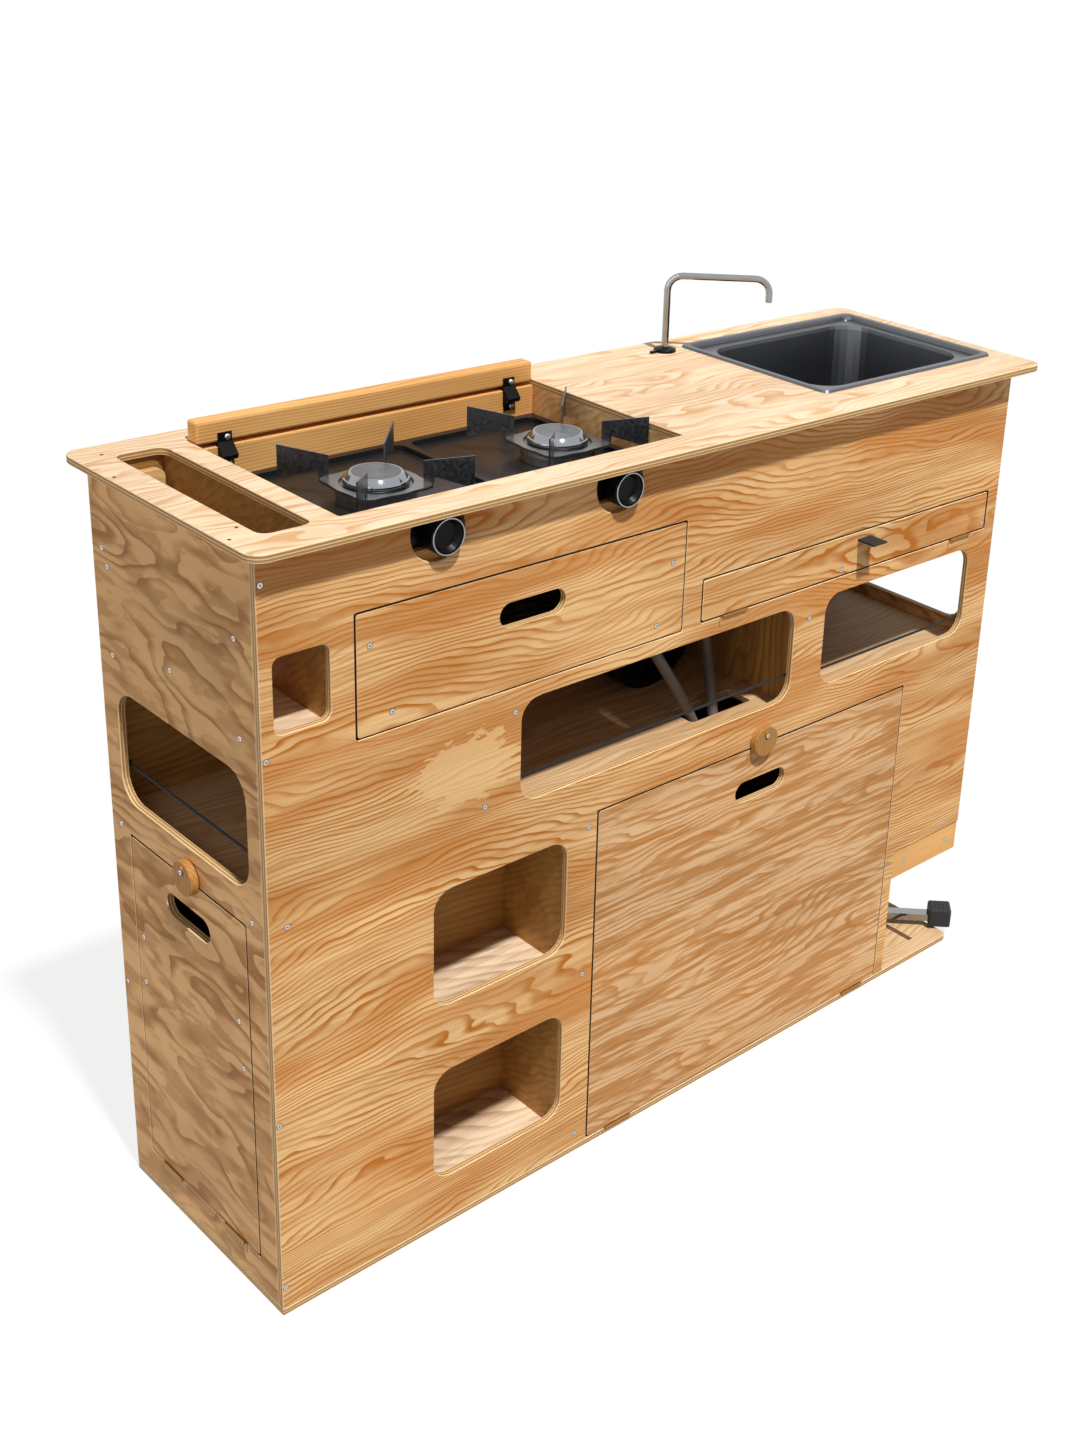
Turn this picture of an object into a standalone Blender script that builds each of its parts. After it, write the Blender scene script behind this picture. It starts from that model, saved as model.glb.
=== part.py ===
"""Kitchen pod for a campervan: a plywood cabinet with a sunken two-burner hob,
a sink with a swivelling tap, a drawer, a drop flap, two drop doors held by turn
buttons, open cubbies and windows, and a foot pump at the lower right.

Units are metres, +Z is up. The body frame has x from the left end to the right,
y from the front face to the back and z from the floor. An empty shifts it so
that the origin is at the bottom centre of the whole object.
"""

import math

import bmesh
import bpy
from mathutils import Matrix, Vector

# Boards and gaps
PLY = 0.009
FIT = 0.0003
ARRIS = 0.0008
RIM_GAP = 0.0020
CUT_OVERRUN = 0.01

# Whole body
BODY_LENGTH = 1.146
BODY_DEPTH = 0.318
TOP_HEIGHT = 0.900
BASE_OVERHANG = 0.0065
BASE_CORNER = 0.010
TOP_LEFT_LIP = 0.0145
TOP_RIGHT_LIP = 0.038
TOP_FRONT_LIP = 0.022
TOP_REAR_LIP = 0.027
TOP_CORNER = 0.018

# Large door and the strip beside it
DOOR_HEIGHT_SHARE = 0.513
DOOR_LEFT = 0.4349
FOOT_WIDTH = 0.145
FOOT_RAIL_BOTTOM = 0.161
FOOT_RAIL_HEIGHT = 0.045
FOOT_RAIL_SET_BACK = 0.0015
FOOT_RAIL_THICK = 0.012
STRIP_WIDTH = 0.018
PANEL_CORNER = 0.003

# Windows and cubbies
RAIL_ABOVE_DOOR = 0.0516
RAIL_ABOVE_WINDOW = 0.0229
WINDOW_CORNER = 0.025
END_WINDOW_CORNER = 0.031
SMALL_WINDOW_CORNER = 0.010
LONG_WINDOW_LEFT = 0.3177
WINDOW_POST_LEFT = 0.0270
WINDOW_POST_RIGHT = 0.0297
RIGHT_WINDOW_MARGIN = 0.0494
PARTITION_FROM_RIGHT = 0.3694
SMALL_WINDOW_LEFT = 0.0146
SMALL_WINDOW_WIDTH = 0.0641
SMALL_WINDOW_HEIGHT = 0.082
SMALL_WINDOW_DROP = 0.116
CUBBY_LEFT = 0.2013
CUBBY_WIDTH = 0.1875
CUBBY_BAND = 0.088
CUBBY_BOTTOM = 0.069
CUBBY_RISE_SHARE = 0.5592
CUBBY_CORNER = 0.024
CUBBY_DEPTH = 0.116
CUBBY_LIP = 0.026
PARTITION_LEFT_GAP = 0.0124

# Left end: window above, door below
END_DOOR_FRONT = 0.0449
END_DOOR_REAR_MARGIN = 0.0405
END_DOOR_BOTTOM = 0.0533
END_DOOR_ABOVE = 0.0021
END_WINDOW_FRONT = 0.033
END_WINDOW_REAR_MARGIN = 0.0292
END_WINDOW_DROP = 0.0067
RIGHT_LEG = 0.069

# Shelf behind the windows and its hose hole
SHELF_LIP = 0.0238
HOSE_HOLE_FROM_PARTITION = 0.1366
HOSE_HOLE_WIDTH = 0.105
HOSE_HOLE_FRONT = 0.060
HOSE_HOLE_DEPTH = 0.040
HOSE_HOLE_CORNER = 0.006

# Drawer
DRAWER_LEFT = 0.1084
DRAWER_WIDTH = 0.4436
DRAWER_HEIGHT = 0.1342
DRAWER_DROP = 0.0953
DRAWER_BACK_GAP = 0.0387
DRAWER_SIDE_PLAY = 0.0095
DRAWER_BOX_DROP = 0.013
SHELF_SIDE = 0.018

# Drop flap and its tray
FLAP_LEFT = 0.5853
FLAP_RIGHT_MARGIN = 0.0234
FLAP_HEIGHT = 0.0518
FLAP_DROP = 0.1755
FLAP_TRAY_DEPTH = 0.085
FLAP_TRAY_SIDE = 0.0055
STRAP_OFFSET = 0.015
STRAP_WIDTH = 0.025
STRAP_THICK = 0.0025
STRAP_REACH = 0.028

# Finger slots
SLOT_LENGTH = 0.090
SLOT_HEIGHT = 0.029
DRAWER_SLOT_DROP = 0.0492
DRAWER_SLOT_LEFT = 0.177
DOOR_SLOT_DROP = 0.0577
END_SLOT_DROP = 0.0473

# Hinges and turn buttons
HINGE_LENGTH = 0.042
HINGE_RADIUS = 0.0016
HINGE_LEAF = 0.0009
HINGE_LEAF_DEPTH = 0.0085
FLAP_HINGE_INSET = 0.0325
DOOR_HINGE_INSET = 0.0284
END_HINGE_INSET = 0.028
BUTTON_RADIUS = 0.020
BUTTON_THICK = 0.009
BUTTON_GAP = 0.001
BUTTON_RISE = 0.0094
BUTTON_PIVOT_RISE = 0.0115
BUTTON_OFFSET = 0.005
SCREW_HEAD_RADIUS = 0.0036
SCREW_HEAD_HEIGHT = 0.0014

# Pocket in the worktop, left
POCKET_LEFT = 0.0224
POCKET_WIDTH = 0.0573
POCKET_FRONT = 0.0234
POCKET_REAR_MARGIN = 0.0123
POCKET_CORNER = 0.012
POCKET_FLOOR_DROP = 0.205
POCKET_TAB_WIDTH = 0.0627
POCKET_TAB_DROP = 0.018
POCKET_TAB_SET = 0.0193
POCKET_TAB_CORNER = 0.010

# Hob recess and hob
RECESS_LEFT = 0.108
RECESS_WIDTH = 0.4541
RECESS_FRONT = 0.024
RECESS_REAR_MARGIN = 0.0075
RECESS_CORNER = 0.002
RAIL_THICK = 0.020
RAIL_HEIGHT = 0.0255
RAIL_DROP = 0.0025
RAIL_EDGE = 0.003
REAR_WALL_GAP = 0.0045
REAR_WALL_FOOT = 0.833
HOB_TOP_DROP = 0.042
HOB_TRAY_HEIGHT = 0.010
HOB_RIM_HEIGHT = 0.006
HOB_RIM_WIDTH = 0.010
HOB_CORNER = 0.012
HOB_BODY_HEIGHT = 0.030
HOB_PLAY = 0.0015
HOB_FRONT_SHEET = 0.004
HOB_FRONT_TOP_GAP = 0.0025
LEDGE_WIDTH = 0.027
FRONT_RAIL_HEIGHT = 0.038
BURNER_LEFT = 0.131
BURNER_SPACING = 0.2485
BURNER_Y = 0.153
RING_RADIUS = 0.043
RING_INNER = 0.030
RING_HEIGHT = 0.0165
CAP_RADIUS = 0.0355
CAP_TOP_RADIUS = 0.0285
CAP_HEIGHT = 0.013
CAP_LIFT = 0.003
CAP_STEM_RADIUS = 0.024
SUPPORT_PLATE_INNER = 0.0395
SUPPORT_PLATE_OUTER = 0.048
SUPPORT_POINT = 0.060
SUPPORT_PLATE_THICK = 0.003
BLADE_INNER = 0.050
BLADE_OUTER = 0.104
BLADE_NECK = 0.062
BLADE_NECK_FOOT = 0.012
BLADE_THICK = 0.0016
BLADE_INNER_TOP = 0.0295
BLADE_OUTER_TOP = 0.038
BLADE_OUTER_FOOT = 0.002
BLADE_COUNT = 4

# Knobs in their notches
NOTCH_RADIUS = 0.0335
NOTCH_DROP = 0.0285
NOTCH_OFFSET = 0.0055
KNOB_DROP = 0.034
KNOB_LEFT_FROM_RECESS = 0.104
KNOB_SPACING = 0.2415
KNOB_RADIUS = 0.0205
KNOB_FACE = 0.0105
KNOB_BACK = 0.009
KNOB_RING = 0.0022
KNOB_DISH = 0.007
KNOB_DISH_RADIUS = 0.0135
STEM_RADIUS = 0.004

# Brackets that carry the hinged rail
BRACKET_WIDTH = 0.018
BRACKET_THICK = 0.002
BRACKET_LEFT = 0.034
BRACKET_RIGHT = 0.038
BRACKET_DROP = 0.0125
KNUCKLE_RADIUS = 0.0065
WALL_NOTCH_DEPTH = 0.004
WALL_NOTCH_FOOT = 0.015

# Sink
SINK_LEFT_FROM_RIGHT = 0.3235
SINK_WIDTH = 0.3337
SINK_FRONT = 0.0432
SINK_REAR_MARGIN = 0.0108
SINK_RIM_RISE = 0.003
SINK_RIM_WIDTH = 0.009
SINK_LEDGE = 0.016
SINK_LEDGE_DROP = 0.004
SINK_CORNER = 0.010
BOWL_CORNER = 0.038
BOWL_DEPTH = 0.120
BOWL_TAPER = 0.012
SHEET = 0.0010
WASTE_HOLE = 0.021
WASTE_FLANGE = 0.030
WASTE_TAIL_RADIUS = 0.0085
WASTE_TAIL = 0.040
BOWL_FILLET = 0.018

# Tap
TAP_FROM_SINK = 0.0315
TAP_FROM_BACK = 0.018
TAP_BASE_RADIUS = 0.0145
TAP_BASE_HEIGHT = 0.006
TAP_STEM_RADIUS = 0.005
TAP_STEM_LENGTH = 0.035
TAP_TUBE = 0.0046
TAP_RISE = 0.100
TAP_REACH = 0.132
TAP_DIP = 0.030
TAP_BEND = 0.019
TAP_ANGLE = math.radians(-40.0)
TAP_LUG_REACH = 0.026
TAP_LUG_WIDTH = 0.004

# Elastic cords behind the windows
ELASTIC_RADIUS = 0.002
KNOT_RADIUS = 0.0042
KNOT_LENGTH = 0.008
CORD_RISE = 0.027
END_CORD_RISE = 0.035
CORD_REACH = 0.010

# Foot pump
PUMP_X_FROM_FOOT = 0.058
PUMP_Y = 0.128
PUMP_RADIUS = 0.034
PUMP_HEIGHT = 0.040
PUMP_DOME = 0.012
PUMP_ANGLE = math.radians(-45.0)
PUMP_EAR_REACH = 0.052
PUMP_PIN_RADIUS = 0.0022
PUMP_EAR_GAP = 0.0182
PUMP_EAR_THICK = 0.004
LEVER_PIVOT_HEIGHT = 0.024
LEVER_START = 0.042
LEVER_LENGTH = 0.103
LEVER_HEIGHT = 0.011
LEVER_WIDTH = 0.016
LEVER_SHEET = 0.002
PAD_LENGTH = 0.034
PAD_WIDTH = 0.030
PAD_HEIGHT = 0.030
PAD_FOOT = 0.0125
PAD_ROUND = 0.003
BASE_SLOT_FROM_RIGHT = 0.0435
BASE_SLOT_FRONT = 0.026
BASE_SLOT_LENGTH = 0.080

# Hoses
HOSE_RADIUS = 0.0073
WATER_HOSE_RADIUS = 0.0060
HOSE_TURNS = 5
GAS_HEAD_INSET = 0.0106
GAS_HEAD_FROM_BACK = 0.1287
GAS_OFFSETS = ((0, 0, -0.052), (0.017, -0.042, -0.0027), (-0.034, 0.034, 0.087), (0.012, 0.018, 0),
               (0.028, 0.020, -0.060), (0, -0.1487, 0), (-0.040, -0.0687, 0), (-0.044, -0.0627, 0))
WASTE_OFFSETS = ((0.1234, 0.100, 0.0173), (0.0054, 0.094, 0.0093), (-0.0416, 0.090, -0.0367),
                 (-0.0551, 0.062, 0.055), (0.057, 0.024, 0), (0.060, 0.022, -0.060), (0.100, -0.1587, 0),
                 (0.120, -0.0687, 0), (0.122, -0.0627, 0))
WATER_OFFSETS = ((0.005, -0.1187, 0), (-0.039, -0.0367, 0), (-0.146, -0.0237, -0.045), (-0.146, -0.0237, 0.030),
                 (-0.161, -0.0187, -0.033), (-0.216, -0.0167, 0.042), (-0.306, -0.0127, 0.087))
WATER_HOLE_FROM_RIGHT = 0.146
WATER_HOLE_FROM_BACK = 0.0237
LOW_BEND_SHARES = (0.60, 0.24, 0.12)
WATER_BEND_SHARES = (0.64, 0.80)

# Round vent drum on the shelf
VENT_RADIUS = 0.074
VENT_DEPTH = 0.055
VENT_X_FROM_LEFT = 0.668
VENT_FRONT = 0.170
VENT_RIM = 0.012
VENT_RECESS = 0.006
VENT_FINS = 8
VENT_FIN_THICK = 0.003
VENT_HUB = 0.018

# Places worked out from the sizes above
BASE_TOP = PLY
PANEL_FOOT = BASE_TOP + FIT
UNDER_TOP = TOP_HEIGHT - PLY
PANEL_TOP = UNDER_TOP - FIT
BACK_FACE = BODY_DEPTH - PLY
BEHIND_FRONT = PLY + FIT
INNER_BACK = BACK_FACE - FIT
INNER_LEFT = PLY + FIT
INNER_RIGHT = BODY_LENGTH - PLY - FIT
FOOT_LEFT = BODY_LENGTH - FOOT_WIDTH
DOOR_RIGHT = FOOT_LEFT - STRIP_WIDTH - RIM_GAP
DOOR_BOTTOM = BASE_TOP + RIM_GAP
DOOR_TOP = DOOR_BOTTOM + TOP_HEIGHT * DOOR_HEIGHT_SHARE
DOOR_MIDDLE = (DOOR_LEFT + DOOR_RIGHT) / 2
WINDOW_BOTTOM = DOOR_TOP + RAIL_ABOVE_DOOR
FLAP_TOP = TOP_HEIGHT - FLAP_DROP
FLAP_BOTTOM = FLAP_TOP - FLAP_HEIGHT
WINDOW_TOP = FLAP_BOTTOM - RAIL_ABOVE_WINDOW
PARTITION_X = BODY_LENGTH - PARTITION_FROM_RIGHT
SHELF_TOP = WINDOW_BOTTOM - SHELF_LIP
SHELF_FOOT = SHELF_TOP - PLY
HOSE_HOLE_LEFT = PARTITION_X - HOSE_HOLE_FROM_PARTITION
CUBBY_RISE = (SHELF_FOOT - CUBBY_BOTTOM) * CUBBY_RISE_SHARE
CUBBY_HEIGHT = CUBBY_RISE - CUBBY_BAND
DRAWER_DEPTH = INNER_BACK - DRAWER_BACK_GAP
DRAWER_RIGHT = DRAWER_LEFT + DRAWER_WIDTH
DRAWER_TOP = TOP_HEIGHT - DRAWER_DROP
DRAWER_BOTTOM = DRAWER_TOP - DRAWER_HEIGHT
FLAP_RIGHT = BODY_LENGTH - FLAP_RIGHT_MARGIN
END_DOOR_REAR = BODY_DEPTH - END_DOOR_REAR_MARGIN
END_DOOR_TOP = DOOR_TOP + END_DOOR_ABOVE
END_DOOR_MIDDLE = (END_DOOR_FRONT + END_DOOR_REAR) / 2
END_WINDOW_REAR = BODY_DEPTH - END_WINDOW_REAR_MARGIN
END_WINDOW_BOTTOM = WINDOW_BOTTOM - END_WINDOW_DROP
RECESS_RIGHT = RECESS_LEFT + RECESS_WIDTH
RECESS_REAR = BODY_DEPTH - RECESS_REAR_MARGIN
RAIL_REAR = RECESS_REAR - FIT
RAIL_FRONT = RAIL_REAR - RAIL_THICK
REAR_WALL_FRONT = RAIL_FRONT - HOB_PLAY
HOB_TOP = TOP_HEIGHT - HOB_TOP_DROP
HOB_FLOOR = HOB_TOP - HOB_RIM_HEIGHT
HOB_TRAY_FOOT = HOB_TOP - HOB_RIM_HEIGHT - HOB_TRAY_HEIGHT
HOB_FOOT = HOB_TRAY_FOOT - HOB_BODY_HEIGHT
BURNERS = (("left", RECESS_LEFT + BURNER_LEFT), ("right", RECESS_LEFT + BURNER_LEFT + BURNER_SPACING))
KNOB_Z = TOP_HEIGHT - KNOB_DROP
KNOB_START = RECESS_LEFT + KNOB_LEFT_FROM_RECESS
KNOBS = (("left", KNOB_START), ("right", KNOB_START + KNOB_SPACING))
SINK_LEFT = BODY_LENGTH - SINK_LEFT_FROM_RIGHT
SINK_RIGHT = SINK_LEFT + SINK_WIDTH
SINK_REAR = BODY_DEPTH - SINK_REAR_MARGIN
SINK_X = (SINK_LEFT + SINK_RIGHT) / 2
SINK_Y = (SINK_FRONT + SINK_REAR) / 2
BOWL_INSET = SINK_RIM_WIDTH + SINK_LEDGE
BOWL_FLOOR = TOP_HEIGHT - BOWL_DEPTH
TAP_X = SINK_LEFT - TAP_FROM_SINK
TAP_Y = BODY_DEPTH - TAP_FROM_BACK
PUMP_X = FOOT_LEFT + PUMP_X_FROM_FOOT
LEVER_X = PUMP_X + LEVER_START * math.cos(PUMP_ANGLE)
LEVER_Y = PUMP_Y + LEVER_START * math.sin(PUMP_ANGLE)
PAD_REACH = LEVER_START + LEVER_LENGTH
PAD_HALF_DIAGONAL = (PAD_LENGTH * math.cos(PUMP_ANGLE) - PAD_WIDTH * math.sin(PUMP_ANGLE)) / 2
PAD_X = PUMP_X + PAD_REACH * math.cos(PUMP_ANGLE)

# Extents of the whole object, which set the origin
EXTENT_LEFT = -TOP_LEFT_LIP
EXTENT_RIGHT = max(BODY_LENGTH + TOP_RIGHT_LIP, PAD_X + PAD_HALF_DIAGONAL)
EXTENT_FRONT = -max(STRAP_REACH, TOP_FRONT_LIP)
EXTENT_REAR = BODY_DEPTH + TOP_REAR_LIP
CENTRE = Vector(((EXTENT_LEFT + EXTENT_RIGHT) / 2, (EXTENT_FRONT + EXTENT_REAR) / 2, 0))

ROUND_STEPS = 32
QUARTER_STEPS = 4
CORNER_STEPS = 6


def clear_scene():
    for item in list(bpy.data.objects):
        bpy.data.objects.remove(item, do_unlink=True)


def linear(channel):
    if channel <= 0.04045:
        return channel / 12.92
    return ((channel + 0.055) / 1.055) ** 2.4


def material(name, hex_colour, roughness, metallic=0.0, alpha=1.0):
    found = bpy.data.materials.get(name)
    if found:
        return found
    made = bpy.data.materials.new(name)
    made.use_nodes = True
    shader = made.node_tree.nodes["Principled BSDF"]
    rgb = [linear(int(hex_colour[i:i + 2], 16) / 255) for i in (0, 2, 4)]
    shader.inputs["Base Color"].default_value = (*rgb, 1.0)
    shader.inputs["Roughness"].default_value = roughness
    shader.inputs["Metallic"].default_value = metallic
    shader.inputs["Alpha"].default_value = alpha
    return made


def front_ply():
    return material("fir plywood, oiled", "D9B27C", 0.5)


def top_ply():
    return material("pale plywood, lacquered", "F1D4AE", 0.4)


def inner_ply():
    return material("fir plywood, inner face", "B98A55", 0.6)


def pine():
    return material("solid pine, oiled", "C98A45", 0.45)


def black_enamel():
    return material("black enamelled steel", "1B1B1D", 0.35, 0.3)


def black_steel():
    return material("black coated steel", "121212", 0.5, 0.6)


def chrome():
    return material("polished chrome", "C9CCD0", 0.12, 1.0)


def cast_grey():
    return material("grey cast metal", "8B8B8A", 0.4, 0.9)


def stainless():
    return material("stainless steel, brushed", "A9ABAD", 0.28, 1.0)


def black_plastic():
    return material("black moulded plastic", "151515", 0.5)


def rubber():
    return material("black rubber", "1C1C1E", 0.75)


def webbing():
    return material("black woven webbing", "161616", 0.9)


def hose_rubber():
    return material("grey hose rubber", "3B3836", 0.65)


def clear_vinyl():
    return material("clear vinyl", "DDE6EA", 0.15, 0.0, 0.4)


def to_space(plane, u, v, w):
    """Point with in-plane coordinates u, v and depth w, in the body frame."""
    if plane == "xz":
        return Vector((u, w, v))
    if plane == "yz":
        return Vector((w, u, v))
    return Vector((u, v, w))


def finish(name, bm, paint, origin, smooth_angle=None):
    """Store a bmesh, whose vertices are in the body frame, as a named object."""
    bmesh.ops.recalc_face_normals(bm, faces=bm.faces[:])
    bmesh.ops.translate(bm, verts=bm.verts[:], vec=-Vector(origin))
    mesh = bpy.data.meshes.new(name)
    bm.to_mesh(mesh)
    bm.free()
    mesh.materials.append(paint)
    if smooth_angle is not None:
        mesh.shade_smooth()
        mesh.set_sharp_from_angle(angle=smooth_angle)
    item = bpy.data.objects.new(name, mesh)
    item.location = Vector(origin)
    item.parent = POD
    bpy.context.scene.collection.objects.link(item)
    return item


def arris(item, width=ARRIS, segments=1):
    bevel = item.modifiers.new("arris", "BEVEL")
    bevel.width = width
    bevel.segments = segments
    bevel.limit_method = "ANGLE"
    bevel.angle_limit = math.radians(40)
    bevel.harden_normals = False
    return item


def arc(u, v, radius, start, end, steps):
    turn = (end - start) / steps
    return [(u + radius * math.cos(start + turn * i), v + radius * math.sin(start + turn * i))
            for i in range(steps + 1)]


def rounded(u0, v0, u1, v1, radius, steps=QUARTER_STEPS):
    """Rectangle with round corners, counter-clockwise from the lower right."""
    radius = min(radius, (u1 - u0) / 2, (v1 - v0) / 2)
    if radius <= 0:
        return [(u0, v0), (u1, v0), (u1, v1), (u0, v1)]
    quarter = math.pi / 2
    corners = ((u1 - radius, v0 + radius, -1), (u1 - radius, v1 - radius, 0),
               (u0 + radius, v1 - radius, 1), (u0 + radius, v0 + radius, 2))
    points = []
    for u, v, turn in corners:
        for point in arc(u, v, radius, turn * quarter, (turn + 1) * quarter, steps):
            if not points or math.dist(point, points[-1]) > FIT / 10:
                points.append(point)
    if math.dist(points[0], points[-1]) <= FIT / 10:
        points.pop()
    return points


def rectangle(u0, v0, u1, v1):
    return [(u0, v0), (u1, v0), (u1, v1), (u0, v1)]


def circle(u, v, radius, steps=ROUND_STEPS):
    return arc(u, v, radius, 0, 2 * math.pi, steps)[:-1]


def finger_slot(u, v):
    """Slot with round ends, centred on u, v."""
    half = SLOT_LENGTH / 2
    rise = SLOT_HEIGHT / 2
    return rounded(u - half, v - rise, u + half, v + rise, rise, 2 * QUARTER_STEPS)


def board_mesh(plane, outline, holes, depth0, depth1):
    """Flat board: an outline with holes, filled and given its thickness."""
    bm = bmesh.new()
    edges = []
    for loop in [outline] + list(holes):
        verts = [bm.verts.new(to_space(plane, u, v, depth0)) for u, v in loop]
        for i, vert in enumerate(verts):
            edges.append(bm.edges.new((vert, verts[(i + 1) % len(verts)])))
    if holes:
        bmesh.ops.triangle_fill(bm, use_beauty=True, use_dissolve=False, edges=edges)
    else:
        bm.faces.new(bm.verts[:])
    made = bmesh.ops.extrude_face_region(bm, geom=bm.faces[:])
    moved = [part for part in made["geom"] if isinstance(part, bmesh.types.BMVert)]
    bmesh.ops.translate(bm, verts=moved, vec=to_space(plane, 0, 0, depth1 - depth0))
    return bm


def board(name, plane, outline, holes, depth0, depth1, paint, origin=(0, 0, 0), edge=ARRIS, smooth=None):
    item = finish(name, board_mesh(plane, outline, holes, depth0, depth1), paint, origin, smooth)
    if edge:
        arris(item, edge)
    return item


def block(name, low, high, paint, origin=(0, 0, 0), edge=ARRIS):
    outline = rectangle(low[0], low[1], high[0], high[1])
    return board(name, "xy", outline, [], low[2], high[2], paint, origin, edge)


def cut(item, cutter_name, plane, outline, depth0, depth1):
    """Take a prism out of an object with an exact Boolean."""
    bm = board_mesh(plane, outline, [], depth0, depth1)
    tool = finish(cutter_name, bm, inner_ply(), (0, 0, 0))
    tool.hide_render = True
    tool.display_type = "WIRE"
    tool.hide_set(True)
    knife = item.modifiers.new(cutter_name, "BOOLEAN")
    knife.operation = "DIFFERENCE"
    knife.solver = "EXACT"
    knife.object = tool
    return tool


def union_piece(item, name, bm):
    """Weld a solid to an object with an exact Boolean."""
    piece = finish(name, bm, item.data.materials[0], (0, 0, 0))
    piece.hide_render = True
    piece.display_type = "WIRE"
    piece.hide_set(True)
    weld = item.modifiers.new(name, "BOOLEAN")
    weld.operation = "UNION"
    weld.solver = "EXACT"
    weld.object = piece
    return piece


def turned(name, profile, paint, origin, direction=(0, 0, 1), steps=ROUND_STEPS, smooth=30, closed=True):
    """Turn a profile of (radius, height) pairs round an axis through origin.

    The profile starts and ends on the axis; with closed set to False it is a
    ring that returns to its first point.
    """
    bm = bmesh.new()
    aim = Vector(direction).to_track_quat("Z", "Y").to_matrix().to_4x4()
    rows = []
    for radius, height in profile:
        if radius <= 0:
            rows.append([bm.verts.new((0, 0, height))])
            continue
        row = []
        for i in range(steps):
            angle = 2 * math.pi * i / steps
            row.append(bm.verts.new((radius * math.cos(angle), radius * math.sin(angle), height)))
        rows.append(row)
    pairs = list(zip(rows, rows[1:]))
    if not closed:
        pairs.append((rows[-1], rows[0]))
    for low, high in pairs:
        for i in range(steps):
            j = (i + 1) % steps
            ring = [low[i % len(low)], low[j % len(low)], high[j % len(high)], high[i % len(high)]]
            corners = []
            for vert in ring:
                if vert not in corners:
                    corners.append(vert)
            if len(corners) > 2:
                bm.faces.new(corners)
    bmesh.ops.transform(bm, matrix=Matrix.Translation(Vector(origin)) @ aim, verts=bm.verts[:])
    return finish(name, bm, paint, origin, math.radians(smooth))


def tube(name, points, radius, paint, origin=(0, 0, 0), resolution=2):
    """Round bar or hose along points in the body frame."""
    data = bpy.data.curves.new(name, "CURVE")
    data.dimensions = "3D"
    data.bevel_depth = radius
    data.bevel_resolution = resolution
    data.use_fill_caps = True
    line = data.splines.new("POLY")
    line.points.add(len(points) - 1)
    for spot, point in zip(line.points, points):
        spot.co = (*(Vector(point) - Vector(origin)), 1)
    data.materials.append(paint)
    item = bpy.data.objects.new(name, data)
    item.location = Vector(origin)
    item.parent = POD
    bpy.context.scene.collection.objects.link(item)
    return item


def smooth_route(points, steps):
    """Curve through the points with straight ends, so that a hose has no kinks."""
    knots = [Vector(p) for p in points]
    slopes = [(after - before) / 2 for before, after in zip(knots, knots[2:])]
    first = (knots[1] - knots[0]).normalized()
    last = (knots[-1] - knots[-2]).normalized()
    slopes[0] = first * (knots[2] - knots[1]).length
    slopes[-1] = last * (knots[-2] - knots[-3]).length
    route = [knots[0]]
    spans = zip(knots[1:], knots[2:-1], slopes, slopes[1:])
    for start, end, leave, arrive in spans:
        for i in range(steps):
            t = i / steps
            bend = start * (2 * t ** 3 - 3 * t ** 2 + 1) + end * (3 * t ** 2 - 2 * t ** 3)
            route.append(bend + leave * (t ** 3 - 2 * t ** 2 + t) + arrive * (t ** 3 - t ** 2))
    return route + [knots[-2], knots[-1]]


def offset_points(anchors, offsets):
    return [Vector(anchor) + Vector(offset) for anchor, offset in zip(anchors, offsets)]


def loft_ring(loops):
    """Close a series of equal loops into one solid ring."""
    bm = bmesh.new()
    rows = [[bm.verts.new(point) for point in loop] for loop in loops]
    for low, high in zip(rows, rows[1:] + rows[:1]):
        for i, vert in enumerate(low):
            j = (i + 1) % len(low)
            bm.faces.new((vert, low[j], high[j], high[i]))
    return bm


def base_plate():
    slot_right = BODY_LENGTH - BASE_SLOT_FROM_RIGHT
    slot = rectangle(slot_right - PLY, BASE_SLOT_FRONT, slot_right, BASE_SLOT_FRONT + BASE_SLOT_LENGTH)
    outline = rounded(0, 0, BODY_LENGTH + BASE_OVERHANG, BODY_DEPTH, BASE_CORNER)
    outline = [(0, 0)] + [p for p in outline if p[0] > BODY_DEPTH] + [(0, BODY_DEPTH)]
    board("base_plate", "xy", outline, [slot], 0, BASE_TOP, front_ply())


def notch_points(knob_x):
    """Edge of one round knob notch in the top of the front panel, right to left."""
    centre = (knob_x - NOTCH_OFFSET, TOP_HEIGHT - NOTCH_DROP)
    top_swing = math.asin((PANEL_TOP - centre[1]) / NOTCH_RADIUS)
    return arc(*centre, NOTCH_RADIUS, top_swing, -math.pi - top_swing, 4 * QUARTER_STEPS)


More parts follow.
